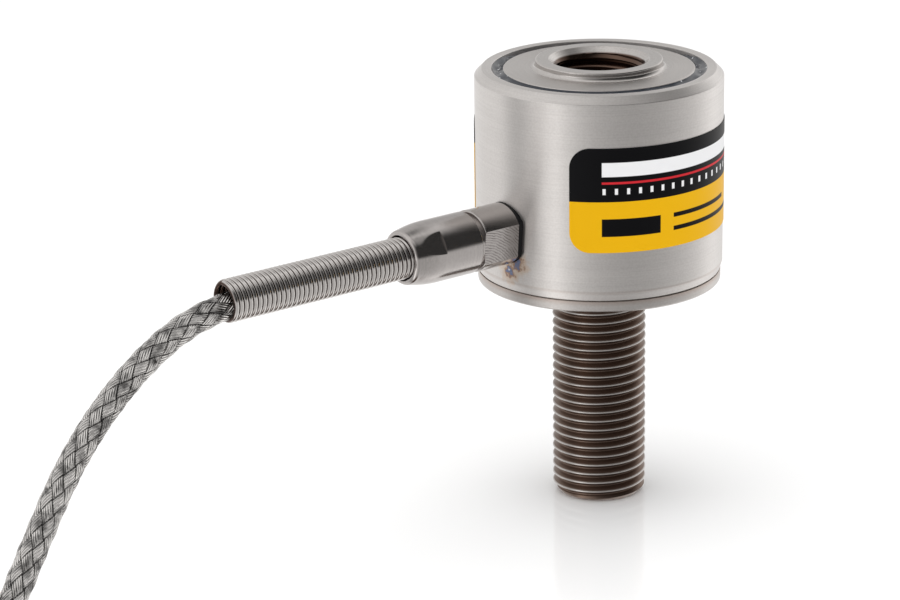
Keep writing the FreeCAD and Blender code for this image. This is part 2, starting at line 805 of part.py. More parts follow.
def make_coil():
    """The outer shape of the wound cable, and the flat tie round it at one place."""
    body = make_body("cable_coil_turned")
    corners = [
        (COIL_INNER, d.coil_corner),
        (COIL_INNER + d.coil_corner, ZERO),
        (COIL_OUTER - d.coil_corner, ZERO),
        (COIL_OUTER, d.coil_corner),
        (COIL_OUTER, COIL_HEIGHT - d.coil_corner),
        (COIL_OUTER - d.coil_corner, COIL_HEIGHT),
        (COIL_INNER + d.coil_corner, COIL_HEIGHT),
        (COIL_INNER, COIL_HEIGHT - d.coil_corner),
    ]
    revolve(body, "coil_ring", corners)
    place(body, x=d.coil_centre_x, y=d.coil_centre_y)
    proud = d.tie_proud
    thick = d.tie_thickness
    length = COIL_OUTER - COIL_INNER + proud * 2
    height = COIL_HEIGHT + proud
    block = tool("Part::Box", "tie_block", Length=length, Width=d.tie_width, Height=height)
    place(block, x=COIL_INNER - proud, y=-(d.tie_width / 2))
    room = tool("Part::Box", "tie_room", Length=length - thick * 2, Width=d.tie_width, Height=height - thick * 2)
    place(room, x=COIL_INNER - proud + thick, y=-(d.tie_width / 2), z=thick)
    tie = doc.addObject("Part::Cut", "coil_tie")
    tie.Base = block
    tie.Tool = room
    place(tie, x=d.coil_centre_x, y=d.coil_centre_y, rotation=Rotation(Vector(0, 0, 1), d.tie_angle.value))
    bind(tie, "Placement.Rotation.Angle", d.tie_angle)
    cut("cable_coil", body, tie)


def on_coil(thing, along, across, up):
    """Lays a piece that was made along +Z on top of the coil, in the direction of the cable's free end."""
    angle = d.tail_angle
    cos, sin = (f(math.radians(angle.value)) for f in (math.cos, math.sin))
    x = Size(f"({along.text} * cos({angle.text}) - {across.text} * sin({angle.text}))",
             along.value * cos - across.value * sin)
    y = Size(f"({along.text} * sin({angle.text}) + {across.text} * cos({angle.text}))",
             along.value * sin + across.value * cos)
    turn = Rotation(Vector(0, 0, 1), angle.value) * Rotation(Vector(0, 1, 0), 90)
    place(thing, x=d.coil_centre_x + x, y=d.coil_centre_y + y, z=COIL_HEIGHT + up, rotation=turn)


def make_free_end():
    """The cable's free end on top of the coil, in a sleeve from which its four leads come out."""
    sleeve_radius = d.cable_radius + d.sleeve_wall
    tail = tool("Part::Cylinder", "cable_tail", Radius=d.cable_radius, Height=d.tail_length)
    on_coil(tail, -d.tail_length, d.tail_offset, sleeve_radius)
    outside = tool("Part::Cylinder", "end_sleeve_blank", Radius=sleeve_radius, Height=d.sleeve_length)
    inside = tool("Part::Cylinder", "end_sleeve_bore", Radius=d.cable_radius, Height=d.sleeve_length)
    sleeve = cut("end_sleeve", outside, inside)
    on_coil(sleeve, -(d.sleeve_length / 2), d.tail_offset, sleeve_radius)
    spread = d.lead_radius * 1.05
    for colour, side, up in (("red", -1, 1), ("black", 1, 1), ("green", -1, -1), ("white", 1, -1)):
        lead = tool("Part::Cylinder", f"lead_{colour}", Radius=d.lead_radius, Height=d.lead_length)
        on_coil(lead, ZERO, d.tail_offset + spread * side, sleeve_radius + spread * up)


def make_cable():
    """The cable inside the gland, its free run down to the coil, the coil and the free end."""
    radius = d.cable_radius.value
    make_ring("cable_inner", ZERO, d.cable_radius, CABLE_INNER_END, d.cable_hold)
    wire, radii = path_wire(CABLE_ROUTE)
    run = tube_along(wire, radius)
    share = run.Volume / (math.pi * radius**2 * wire.Length)
    print("cable run: arc radii", radii, "length", round(wire.Length, 2), "volume share", round(share, 4))
    foot = Vector(d.coil_centre_x.value, d.coil_centre_y.value, -radius)
    outside_coil = run.cut(Part.makeCylinder(COIL_OUTER.value, COIL_HEIGHT.value + 2 * radius, foot))
    solid_piece("cable_run", max(outside_coil.Solids, key=lambda solid: solid.Volume))
    make_coil()
    make_free_end()


def build():
    make_male_stud()
    make_sensing_element()
    make_outer_shell()
    make_top_seal()
    make_label("front_label", d.front_label_width, d.front_label_angle)
    make_label("rear_label", d.rear_label_width, d.rear_label_angle)
    make_gland_body()
    make_gland_nut()
    make_ring("gland_gasket", d.nose_radius, d.gasket_radius, SEAT, GRIP_START)
    make_ring("cable_bush", d.cable_radius, d.bush_radius, BUSH_START, BUSH_END)
    make_ring("clamp_washer", d.washer_bore, d.washer_radius, BUSH_END, SPRING_START)
    make_relief_spring()
    for index in range(4):
        make_strain_gauge(index)
    make_bridge_board()
    make_solder_pads()
    make_chip("balance_resistor", 60)
    make_chip("span_resistor", 120)
    make_conductors()
    make_jumper_wires()
    make_cable()


NODES = [
    "male_stud", "sensing_element", "outer_shell", "top_seal", "front_label", "rear_label",
    "gland_body", "gland_nut", "gland_gasket", "cable_bush", "clamp_washer", "relief_spring",
    "strain_gauge_1", "strain_gauge_2", "strain_gauge_3", "strain_gauge_4",
    "bridge_board", "solder_pads", "balance_resistor", "span_resistor",
    "conductor_red", "conductor_black", "conductor_green", "conductor_white", "jumper_wires",
    "cable_inner", "cable_run", "cable_coil", "coil_tie", "cable_tail", "end_sleeve",
    "lead_red", "lead_black", "lead_green", "lead_white",
]


def write_parts():
    """Checks every object and writes one STEP file for each node."""
    doc.recompute()
    for thing in doc.Objects:
        if any(word in thing.State for word in ("Invalid", "Error")):
            raise RuntimeError(f"{thing.Name} failed: {thing.State}")
    os.makedirs("parts", exist_ok=True)
    for label in NODES:
        (piece,) = doc.getObjectsByLabel(label)
        shape = piece.Shape
        if shape.isNull() or not shape.isValid() or not shape.Solids:
            raise RuntimeError(f"{label} has no valid solid")
        shape.exportStep(f"parts/{label}.step")
        print(f"{label}: {len(shape.Solids)} solid(s), {shape.Volume:.2f} mm3")


build()
write_parts()
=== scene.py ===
# %% [markdown]
# # Rod end load cell
#
# A load cell is a spring of steel whose tiny stretch is read by strain gauges. This one is screwed into
# a rod: a male stud below, a female thread on top, and between them a round shell that hides the
# gauges. A cable leaves the shell through a gland and a close-wound spring.
#
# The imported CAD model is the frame: it says where everything is. Each cell below makes one piece of it
# again with the detail that a picture needs, such as real threads, as a surface computed by numpy.

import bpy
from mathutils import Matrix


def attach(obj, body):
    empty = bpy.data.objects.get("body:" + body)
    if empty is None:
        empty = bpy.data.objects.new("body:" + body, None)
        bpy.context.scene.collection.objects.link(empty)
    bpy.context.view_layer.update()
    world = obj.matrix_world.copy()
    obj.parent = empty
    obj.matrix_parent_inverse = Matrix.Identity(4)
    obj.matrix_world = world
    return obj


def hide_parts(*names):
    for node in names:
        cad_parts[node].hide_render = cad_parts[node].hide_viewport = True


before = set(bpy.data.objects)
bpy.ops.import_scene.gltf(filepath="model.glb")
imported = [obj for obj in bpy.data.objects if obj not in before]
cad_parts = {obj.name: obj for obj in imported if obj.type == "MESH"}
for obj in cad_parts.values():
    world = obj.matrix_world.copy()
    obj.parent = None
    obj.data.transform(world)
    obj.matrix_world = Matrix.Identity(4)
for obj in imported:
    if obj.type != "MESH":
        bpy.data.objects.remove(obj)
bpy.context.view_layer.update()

import math

import bmesh
import bpy
import numpy as np
from mathutils import Matrix, Vector

print("nodes in the frame:", len(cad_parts))

# %% [markdown]
# ## Measures
#
# All lengths are written in millimetres, as on the CAD drawing, and become metres where a mesh is made.
# Heights are measured from the stud's lower end. Distances along the gland are measured from the load
# axis.

# %%
MM = 0.001
PITCH = 1.27
STUD_TOP = 30.6
FLANGE_RADIUS = 16.4
FLANGE_TOP = 32.1
SHELL_RADIUS = 16.65
BORE_RADIUS = 14.6
LIP_RADIUS = 14.35
DISC_RADIUS = 12.85
SHELL_TOP = 59.76
BOSS_RADIUS = 8.5
BOSS_TOP = 60.93
GLAND_Z = 39.95
SEAT = 16.1
SEAT_RADIUS = 4.16
SEAT_FLAT = 3.42
HOLE_RADIUS = 3.02
SPRING_START = 28.65
SPRING_END = 62.14
CABLE_RADIUS = 1.7
FLAT_WAY = -94
FAR_SIDE = 49
FULL = 2 * math.pi

# %% [markdown]
# ## From numbers to meshes
#
# Nearly every piece here is either turned on a lathe or bent from wire, so it is a grid of points:
# rows along a profile, columns round an axis. `quads` joins the points of such a grid, `lathe` turns a
# profile, and `rounded` breaks its corners. Real turned edges are never perfectly sharp, and the
# small rounding is what catches the light.

# %%
def quads(rows, columns, close_rows=False, close_columns=False):
    """Faces of a grid of points kept row after row. A closed direction joins its last line to its first."""
    i = np.arange(rows if close_rows else rows - 1)[:, None]
    j = np.arange(columns if close_columns else columns - 1)[None, :]
    after_i = (i + 1) % rows
    after_j = (j + 1) % columns
    corners = [i * columns + j, after_i * columns + j, after_i * columns + after_j, i * columns + after_j]
    return np.stack(np.broadcast_arrays(*corners), axis=-1).reshape(-1, 4)


def grid(points, close_rows=False, close_columns=False):
    """A surface from an array of points with the shape (rows, columns, 3), as (points, faces)."""
    rows, columns = points.shape[:2]
    return points.reshape(-1, 3), quads(rows, columns, close_rows, close_columns)


def rounded(corners, closed=False, steps=4, guard=0.04):
    """A profile through corners of (radius, height, rounding).

    Each rounding is an arc that touches both runs at rounding * tan(turn / 2) from the corner. One more
    point stands a little before and after it, so that smooth shading leaves the flat runs flat.
    """
    places = np.array([c[:2] for c in corners], float)
    line = []
    for k, corner in enumerate(corners):
        end = not closed and k in (0, len(corners) - 1)
        if end or corner[2] == 0:
            line.append(places[k])
            continue
        before = places[k - 1] - places[k]
        after = places[(k + 1) % len(corners)] - places[k]
        a, b = before / np.linalg.norm(before), after / np.linalg.norm(after)
        half = math.acos(np.clip(-(a @ b), -1, 1)) / 2
        back = corner[2] * math.tan(half)
        middle = (a + b) / np.linalg.norm(a + b)
        centre = places[k] + middle * corner[2] / math.cos(half)
        start = (places[k] + a * back - centre) / corner[2]
        stop = (places[k] + b * back - centre) / corner[2]
        share = np.linspace(0, 1, steps + 1)[:, None]
        arc = start * np.sin((1 - share) * 2 * half) + stop * np.sin(share * 2 * half)
        line.append(places[k] + a * (back + guard))
        line.extend(centre + corner[2] * arc / math.sin(2 * half))
        line.append(places[k] + b * (back + guard))
    return np.array(line)


def lathe(profile, columns=192, closed=False):
    """A profile of (radius, height) turned about the Z axis: (r cos a, r sin a, z) for each angle a."""
    angle = np.arange(columns) * FULL / columns
    radius, height = profile[:, 0, None], profile[:, 1, None]
    points = np.stack(np.broadcast_arrays(radius * np.cos(angle), radius * np.sin(angle), height), axis=-1)
    return grid(points, close_rows=closed, close_columns=True)


def joined(*parts):
    """Several (points, faces) as one."""
    starts = np.cumsum([0] + [len(points) for points, _ in parts[:-1]])
    return np.concatenate([p for p, _ in parts]), np.concatenate([f + n for (_, f), n in zip(parts, starts)])


def along_gland(part):
    """Lays a part that was made about +Z along the gland: its Z becomes -X and its X becomes up."""
    points, faces = part
    x, y, z = points.T
    return np.stack([-z, y, GLAND_Z + x], axis=-1), faces


def mesh_from(name, points, faces, sharp=40, merge=True):
    """A mesh in metres from points in millimetres, smooth but for edges that turn by more than sharp."""
    mesh = bpy.data.meshes.new(name)
    mesh.vertices.add(len(points))
    mesh.vertices.foreach_set("co", (points * MM).astype(np.float32).ravel())
    mesh.loops.add(faces.size)
    mesh.loops.foreach_set("vertex_index", faces.astype(np.int32).ravel())
    mesh.polygons.add(len(faces))
    mesh.polygons.foreach_set("loop_start", np.arange(len(faces), dtype=np.int32) * faces.shape[1])
    mesh.update(calc_edges=True)
    if merge:
        work = bmesh.new()
        work.from_mesh(mesh)
        bmesh.ops.remove_doubles(work, verts=work.verts, dist=1e-7)
        bmesh.ops.recalc_face_normals(work, faces=work.faces)
        work.to_mesh(mesh)
        work.free()
    mesh.polygons.foreach_set("use_smooth", np.ones(len(mesh.polygons), bool))
    mesh.set_sharp_from_angle(angle=math.radians(sharp))
    return mesh


def piece(name, part, slot, *nodes, sharp=40, merge=True):
    """Makes an object of a part, lets it ride on the frame and stand for its CAD nodes."""
    thing = bpy.data.objects.new(name, mesh_from(name, *part, sharp=sharp, merge=merge))
    bpy.context.scene.collection.objects.link(thing)
    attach(thing, "root")
    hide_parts(*nodes)
    print(f"{name}: {len(thing.data.vertices)} points, {len(thing.data.polygons)} faces")
    return thing


# %% [markdown]
# ## The threads
#
# A thread is one groove that runs round and round. Its surface has two parameters: the turn, and the
# share of one pitch across the groove. A point is lifted by one pitch in each full turn, and the strip's
# upper edge is sewn to its own lower edge one turn later. Beyond the stud's end the same strip closes
# in to the axis, which gives the end face and, on the way, the chamfer.

# %%
def thread(shares, radii, first, last, per_turn=96):
    """A right-handed thread surface from one height to another.

    shares and radii give the groove's form across one pitch. Returns angle, height and radius arrays of
    the shape (steps, shares), and the faces.
    """
    steps = int(math.ceil(((last - first) / PITCH + 1) * per_turn)) + 1
    step, across = np.arange(steps), len(shares)
    angle = np.repeat((step * FULL / per_turn)[:, None], across, axis=1)
    height = first - PITCH + PITCH * (step / per_turn)[:, None] + PITCH * np.array(shares)
    radius = np.repeat(np.array(radii)[None, :], steps, axis=0)
    inner = quads(steps, across)
    k = np.arange(steps - per_turn - 1)
    low, high = k * across + across - 1, (k + per_turn) * across
    seam = np.stack([low, low + across, high + across, high], axis=-1)
    return angle, height, radius, np.concatenate([inner, seam])


def round_points(angle, radius, height):
    """Points from angles, radii and heights."""
    return np.stack([radius * np.cos(angle), radius * np.sin(angle), height], axis=-1).reshape(-1, 3)


crest_form = [0.0, 0.05, 0.097, 0.16, 0.40, 0.435, 0.455, 0.50, 0.545, 0.565, 0.60, 0.84, 0.903, 0.95]
crest_radii = [5.60, 5.61, 5.66, 5.79, 6.24, 6.315, 6.345, 6.35, 6.345, 6.315, 6.24, 5.79, 5.66, 5.61]
END_RADIUS = 5.45
END_REACH = 2.4
angle, height, radius, faces = thread(crest_form, crest_radii, -END_REACH, STUD_TOP + 0.4)
chamfer = END_RADIUS + np.clip(height, 0, None) * 1.0
inward = np.clip(1 + np.clip(height, None, 0) / END_REACH, 0.002, 1) * END_RADIUS
radius = np.where(height < 0, inward, np.minimum(radius, chamfer))
stud = (round_points(angle, radius, np.clip(height, 0, STUD_TOP + 0.2)), faces)
print("stud thread:", len(stud[0]), "points,", round((STUD_TOP) / PITCH, 1), "turns")

# %% [markdown]
# The female thread is the same idea seen from inside: the strip's form has its crests at the drilled
# hole's radius and its roots outward. It stops under a wide polished chamfer that leads the screw in.

# %%
root_form = [0.0, 0.06, 0.10, 0.42, 0.46, 0.54, 0.58, 0.90, 0.94]
root_radii = [5.72, 5.72, 5.76, 6.30, 6.35, 6.35, 6.30, 5.76, 5.72]
MOUTH_RADIUS = 6.75
MOUTH_FOOT = BOSS_TOP - 1.03
angle, height, radius, faces = thread(root_form, root_radii, 50.4, BOSS_TOP)
mouth = np.clip(5.72 + (height - MOUTH_FOOT), 5.72, 6.55)
height = np.clip(height, 49.6, MOUTH_FOOT + 0.83)
groove = 5.72 + (radius - 5.72) * np.clip((MOUTH_FOOT + 0.35 - height) / 0.5, 0, 1)
radius = np.where(height <= 50.0, 5.72, np.maximum(groove, mouth))
female = (round_points(angle, radius, height), faces)
print("female thread:", len(female[0]), "points")

# %% [markdown]
# ## The sensing element
#
# Stud, flange, sensing column, hub, disc and boss are one piece of stainless steel, turned on a lathe
# and then milled to a square column where the gauges sit. It is drawn as turned profiles round the two
# thread strips.

# %%
flange = rounded(
    [
        (5.3, STUD_TOP, 0),
        (FLANGE_RADIUS, STUD_TOP, 0.35),
        (FLANGE_RADIUS, FLANGE_TOP, 0.06),
        (BORE_RADIUS - 0.05, FLANGE_TOP, 0),
        (BORE_RADIUS - 0.05, 34.0, 0.3),
        (0.01, 34.0, 0),
    ]
)
top = rounded(
    [
        (0.01, 45.4, 0),
        (10.2, 45.4, 0.1),
        (10.2, 46.6, 0),
        (9.0, 46.6, 0),
        (9.0, 57.7, 0.3),
        (DISC_RADIUS, 57.7, 0),
        (DISC_RADIUS, SHELL_TOP, 0.26),
        (BOSS_RADIUS, SHELL_TOP, 0.62),
        (BOSS_RADIUS, BOSS_TOP, 0.2),
        (MOUTH_RADIUS, BOSS_TOP, 0.14),
        (6.5, BOSS_TOP - 0.25, 0),
    ],
    steps=6,
)
bore = rounded([(5.72, 50.0, 0), (5.72, 48.93, 0), (0.01, 45.63, 0)])


def square_column(side, foot, head, rounding, columns=96):
    """A square column whose faces flare by a quarter round at both ends.

    A point of the square lies at side / 2 / max(|cos a|, |sin a|) from the axis, and the flare moves it out.
    """
    turn = np.linspace(0, math.pi / 2, 7)
    flare = rounding * (1 - np.sin(turn))
    low = foot + rounding * (1 - np.cos(turn))
    heights = np.concatenate([low, (foot + head) - low[::-1]])
    out = np.concatenate([flare, flare[::-1]])
    angle = np.arange(columns) * FULL / columns
    edge = 1 / np.maximum(np.abs(np.cos(angle)), np.abs(np.sin(angle)))
    radius = (side / 2 + out[:, None]) * edge
    tall = np.repeat(heights[:, None], columns, axis=1)
    points = np.stack([radius * np.cos(angle), radius * np.sin(angle), tall], axis=-1)
    return grid(points, close_columns=True)


column = square_column(7.6, 34.0, 45.4, 0.9)
element = piece(
    "load_element",
    joined(stud, lathe(flange), column, lathe(top, 288), lathe(bore), female),
    "turned_steel",
    "sensing_element",
    "male_stud",
)

# %% [markdown]
# ## The outer shell
#
# The shell is a turned tube. On its side a flat seat is milled for the gland, with a hole through it.
# A round seat on a round wall is awkward for a grid, so the wall leaves a window of whole cells free
# there, and a second grid of spokes runs from the seat's circle to the window's frame.

# %%
COLUMNS = 360
WINDOW = 18
WINDOW_REACH = 5.2
WINDOW_ROWS = 14
window_heights = GLAND_Z + np.linspace(-WINDOW_REACH, WINDOW_REACH, WINDOW_ROWS)


def window_frame(radius):
    """The window's border points, anticlockwise, as (distance round the wall, height above the gland)."""
    side = np.arange(-WINDOW, WINDOW + 1) * FULL / COLUMNS * radius
    rise = window_heights - GLAND_Z
    bottom = np.stack([side[:-1], np.full(len(side) - 1, rise[0])], axis=-1)
    right = np.stack([np.full(len(rise) - 1, side[-1]), rise[:-1]], axis=-1)
    return np.concatenate([bottom, right, -bottom, -right])


def on_wall(place, radius):
    """Points on the wall's -X side from (distance round the wall, height above the gland)."""
    turn = place[..., 0] / radius
    return np.stack([-radius * np.cos(turn), radius * np.sin(turn), GLAND_Z + place[..., 1]], axis=-1)


def seat_outline(spoke):
    """The seat's radius: a circle cut by two flats, at flat / |cos(angle - normal)|."""
    slant = np.abs(np.cos(spoke - math.radians(90 - FLAT_WAY)))
    return np.minimum(SEAT_RADIUS, SEAT_FLAT / np.maximum(slant, 1e-3))


def hole_outline(spoke):
    """The bore for the gland's neck."""
    return np.full(len(spoke), HOLE_RADIUS)


def window_patch(radius, outline, rings=7):
    """The grid of spokes between a hole along X and the window's frame."""
    frame_line = window_frame(radius)
    spoke = np.arctan2(frame_line[:, 1], frame_line[:, 0])
    hole = outline(spoke)
    circle = np.stack([radius * np.arcsin(hole * np.cos(spoke) / radius), hole * np.sin(spoke)], axis=-1)
    share = np.linspace(0, 1, rings)[:, None, None] ** 1.5
    place = circle * (1 - share) + frame_line * share
    return grid(on_wall(place, radius), close_columns=True), spoke


def hole_wall(spoke, places):
    """Rings round the gland's axis: each is (radius, distance from the load axis)."""
    rings = []
    for radius, distance in places:
        y, z = radius * np.cos(spoke), radius * np.sin(spoke)
        x = -np.sqrt(distance[1] ** 2 - y**2) if isinstance(distance, tuple) else np.full(len(y), -distance)
        rings.append(np.stack([x, y, GLAND_Z + z], axis=-1))
    return grid(np.array(rings), close_columns=True)


def wall_grid(profile):
    """A closed turned profile without the faces inside the window."""
    points, faces = lathe(profile, COLUMNS, closed=True)
    centre = points[faces].mean(axis=1)
    radius = np.hypot(centre[:, 0], centre[:, 1])
    upright = np.ptp(np.hypot(points[faces][..., 0], points[faces][..., 1]), axis=1) < 1e-6
    turn = np.abs(np.arctan2(centre[:, 1], -centre[:, 0]))
    beside = (turn < WINDOW * FULL / COLUMNS) & (np.abs(centre[:, 2] - GLAND_Z) < WINDOW_REACH)
    return points, faces[~(beside & upright & (radius > 14))]


outside = rounded(
    [
        (BORE_RADIUS, FLANGE_TOP, 0),
        (16.0, FLANGE_TOP, 0),
        (16.0, FLANGE_TOP + 0.12, 0),
        (16.33, FLANGE_TOP + 0.12, 0.05),
        (SHELL_RADIUS, FLANGE_TOP + 1.2, 0.25),
        (SHELL_RADIUS, SHELL_TOP - 1.0, 0.12),
        (SHELL_RADIUS - 1.0, SHELL_TOP, 0.12),
        (LIP_RADIUS, SHELL_TOP, 0.1),
        (LIP_RADIUS, SHELL_TOP - 2.0, 0),
        (BORE_RADIUS, SHELL_TOP - 2.0, 0),
    ],
    closed=True,
)
on_outside = outside[:, 0] > SHELL_RADIUS - 0.01
at_wall = np.where(on_outside[:-1] & on_outside[1:] & (np.diff(outside[:, 1]) > 5))[0][0] + 1
upright_rows = np.stack([np.full(WINDOW_ROWS, SHELL_RADIUS), window_heights], axis=-1)
inner_rows = np.stack([np.full(WINDOW_ROWS, BORE_RADIUS), window_heights[::-1]], axis=-1)
profile = np.concatenate([outside[:at_wall], upright_rows, outside[at_wall:], inner_rows])
outer_patch, spoke = window_patch(SHELL_RADIUS, seat_outline)
inner_patch, inner_spoke = window_patch(BORE_RADIUS, hole_outline)
seat_line = seat_outline(spoke)
seat = hole_wall(spoke, [(seat_line, (0, SHELL_RADIUS)), (seat_line, SEAT), (HOLE_RADIUS, SEAT)])
hole = hole_wall(inner_spoke, [(HOLE_RADIUS, SEAT), (HOLE_RADIUS, (0, BORE_RADIUS))])
shell = piece(
    "shell", joined(wall_grid(profile), outer_patch, inner_patch, seat, hole), "shell_steel", "outer_shell"
)

# %% [markdown]
# ## Sealant and labels
#
# The gap between shell and disc is filled with black sealant, which draws up to the metal on both sides
# as it sets, so its surface is hollow. On the far side it has sunk, and the shell's bare lip shows. The
# labels are printed films bent round the shell. Their surface is (distance round the wall, height), and
# the row's half width shrinks near the ends to round the corners.

# %%
across = np.linspace(0, 1, 17)
hollow = SHELL_TOP - 0.12 - 0.42 * np.sin(across * math.pi) ** 0.8
seal_profile = np.stack([DISC_RADIUS - 0.05 + across * 1.6, hollow], axis=-1)
seal_profile = np.concatenate([seal_profile, [[LIP_RADIUS + 0.05, 57.9], [DISC_RADIUS - 0.05, 57.9]]])
points, faces = lathe(seal_profile, 288, closed=True)
turn = np.arctan2(points[:, 1], points[:, 0])
ripple = 0.05 * np.sin(turn * 7 + 1) + 0.035 * np.sin(turn * 19 + 2) + 0.03 * np.sin(turn * 31)
top_side = points[:, 2] > 58.5
across_gap = np.sin(np.pi * np.clip((np.hypot(*points[:, :2].T) - 12.8) / 1.6, 0, 1))
sunk = np.clip((np.cos(turn - math.radians(FAR_SIDE)) - 0.40) / 0.3, 0, 1)
points[:, 2] += np.where(top_side, ripple * across_gap - 0.62 * sunk, 0)
seal = piece("sealant", (points, faces), "black_sealant", "top_seal")


def label(name, width, middle, node):
    """A film 0.1 mm thick with rounded corners, and its own UV map in millimetres."""
    tall, corner, thick, foot = 14.1, 2.7, 0.1, FLANGE_TOP + 6.8
    ease = corner * (1 - np.cos(np.linspace(0, math.pi / 2, 13)))
    rows = np.concatenate([ease, tall - ease[::-1]])
    inset = corner - np.sqrt(corner**2 - np.clip(corner - np.minimum(rows, tall - rows), 0, None) ** 2)
    side = np.linspace(-1, 1, 121)
    place = side[None, :] * (width / 2 - inset)[:, None]
    turn = math.radians(middle) + place / SHELL_RADIUS
    up = np.repeat((foot + rows)[:, None], len(side), axis=1)
    skins = []
    for radius in (SHELL_RADIUS + 0.002, SHELL_RADIUS + thick):
        skins.append(np.stack([radius * np.cos(turn), radius * np.sin(turn), up], axis=-1))
    under, over = grid(skins[0]), grid(skins[1])
    wide, last = len(side), len(rows) - 1
    rim = [np.arange(wide), np.arange(2, last + 2) * wide - 1]
    rim += [np.arange((last + 1) * wide - 2, last * wide - 1, -1), np.arange(last - 1, 0, -1) * wide]
    rim = np.concatenate(rim)
    edge = grid(np.stack([under[0][rim], over[0][rim]]), close_columns=True)
    made = piece(name, joined(under, over, edge), "label_film", node, sharp=30)
    uv = made.data.uv_layers.new(name="print")
    co = np.empty(len(made.data.vertices) * 3, np.float32)
    made.data.vertices.foreach_get("co", co)
    co = co.reshape(-1, 3) / MM
    off = np.arctan2(co[:, 1], co[:, 0]) - math.radians(middle)
    off = (off + math.pi) % FULL - math.pi
    flat = np.stack([off * SHELL_RADIUS, co[:, 2] - foot], axis=-1)
    index = np.empty(len(made.data.loops), np.int32)
    made.data.loops.foreach_get("vertex_index", index)
    uv.data.foreach_set("uv", flat[index].astype(np.float32).ravel())
    return made


front = label("label_front", 34.5, 275, "front_label")
rear = label("label_rear", 28.0, 95, "rear_label")

# %% [markdown]
# ## The gland
#
# The gland's body is screwed into the shell and its nut squeezes a rubber bush on the cable. Both are
# turned, and then flats are milled for a wrench. A flat at distance D whose normal points to the angle n
# lies at D / cos(a - n) from the axis, so the piece's radius at angle a is the smaller of that and the
# turned radius. The milled step at a flat's end needs two rows at nearly one place.

# %%
def with_flats(profile, distance, normal, start, end, columns=480, closed=True):
    """A turned profile with two opposite flats between two places along its axis."""
    angle = np.arange(columns) * FULL / columns
    radius = np.repeat(profile[:, 0, None], columns, axis=1)
    along = np.repeat(profile[:, 1, None], columns, axis=1)
    flat = distance / np.maximum(np.abs(np.cos(angle - math.radians(normal))), 1e-3)
    milled = (profile[:, 1] >= start) & (profile[:, 1] <= end) & (profile[:, 0] > 3.0)
    radius = np.where(milled[:, None], np.minimum(radius, flat), radius)
    points = np.stack([radius * np.cos(angle), radius * np.sin(angle), along], axis=-1)
    return grid(points, close_rows=closed, close_columns=True)


grip = rounded(
    [
        (1.8, 14.2, 0),
        (3.0, 14.2, 0),
        (3.0, 17.4, 0),
        (3.3, 17.4, 0),
        (3.3, 17.0, 0),
        (4.15, 17.0, 0.08),
        (4.15, 22.6, 0.22),
        (3.5, 22.6, 0),
        (3.5, 23.35, 0),
        (3.25, 23.35, 0),
        (3.25, 28.15, 0),
        (2.45, 28.15, 0),
        (2.45, 25.05, 0),
        (1.8, 25.05, 0),
    ],
    closed=True,
)
gland = piece(
    "gland_grip",
    along_gland(with_flats(grip, 3.47, FLAT_WAY, 16.9, 22.7)),
    "gland_steel",
    "gland_body",
    sharp=30,
)
taper = np.linspace(0, 1, 12)[:, None]
nut_line = rounded([(3.25, 28.65, 0), (3.25, 23.35, 0), (4.15, 23.35, 0.15), (4.15, 29.0, 0)])
step_rows = np.array([[4.15, 29.385], [4.15, 29.4]])
curve = np.concatenate([4.15 - 0.5 * taper[1:] ** 2, 29.4 + 4.0 * taper[1:]], axis=1)
lip_turn = np.linspace(0, 1, 9)[:, None] * math.pi / 2
lip = np.concatenate([3.05 + 0.6 * np.cos(lip_turn), 33.4 + 0.6 * np.sin(lip_turn)], axis=1)[1:]
inside = rounded([(3.05, 34.0, 0), (2.95, 33.9, 0), (2.95, 28.65, 0)])
nut_profile = np.concatenate([nut_line, step_rows, curve, lip, inside[1:]])
nut = piece(
    "gland_cap",
    along_gland(with_flats(nut_profile, 3.85, -59, 29.39, 34.1)),
    "gland_steel",
    "gland_nut",
    sharp=30,
)
ring = rounded(
    [
        (3.02, 16.12, 0),
        (4.12, 16.12, 0.1),
        (4.12, 16.98, 0.1),
        (3.28, 16.98, 0),
        (3.28, 17.38, 0),
        (3.02, 17.38, 0),
    ],
    closed=True,
)
gasket = piece(
    "gasket",
    along_gland(with_flats(ring, 3.38, FLAT_WAY, 15.0, 17.1)),
    "black_rubber",
    "gland_gasket",
    sharp=30,
)

# %% [markdown]
# ## The strain relief spring
#
# A close-wound spring keeps the cable from bending sharply at the gland. It is one wire: a small circle
# carried round a helix, so its surface has two parameters, the turn and the place round the wire.

# %%
def helix_tube(radius, wire, start, end, turns, per_turn=56, around=14):
    """A wire of radius wire wound round Z: centre (R cos a, R sin a, z), circle in the plane of R and z."""
    steps = int(turns * per_turn) + 1
    angle = np.linspace(0, turns * FULL, steps)
    centre = np.linspace(start, end, steps)
    section = np.arange(around) * FULL / around
    out = radius + wire * np.cos(section)[None, :]
    up = centre[:, None] + wire * np.sin(section)[None, :]
    points = np.stack([out * np.cos(angle)[:, None], out * np.sin(angle)[:, None], up], axis=-1)
    wire_points, wire_faces = grid(points, close_columns=True)
    caps = []
    for row in (0, steps - 1):
        ring_of_wire = points[row]
        hub = np.repeat(ring_of_wire.mean(axis=0)[None, :], around, axis=0)
        caps.append(grid(np.stack([ring_of_wire, hub]), close_columns=True))
    return joined((wire_points, wire_faces), *caps)


points, faces = along_gland(helix_tube(2.45, 0.35, SPRING_START + 0.36, SPRING_END - 0.36, 46))
spring = piece("spring", (points, faces), "spring_steel", "relief_spring", merge=False)

# %% [markdown]
# ## The cable
#
# The cable leaves the spring, bends down to the bench and ends in a coil of put-away length, about three
# metres in all. Its centreline is a spline through the same points as the CAD run, followed by the
# coil's turns: each layer is a flat spiral, out to in or in to out, and the last turn climbs on top.

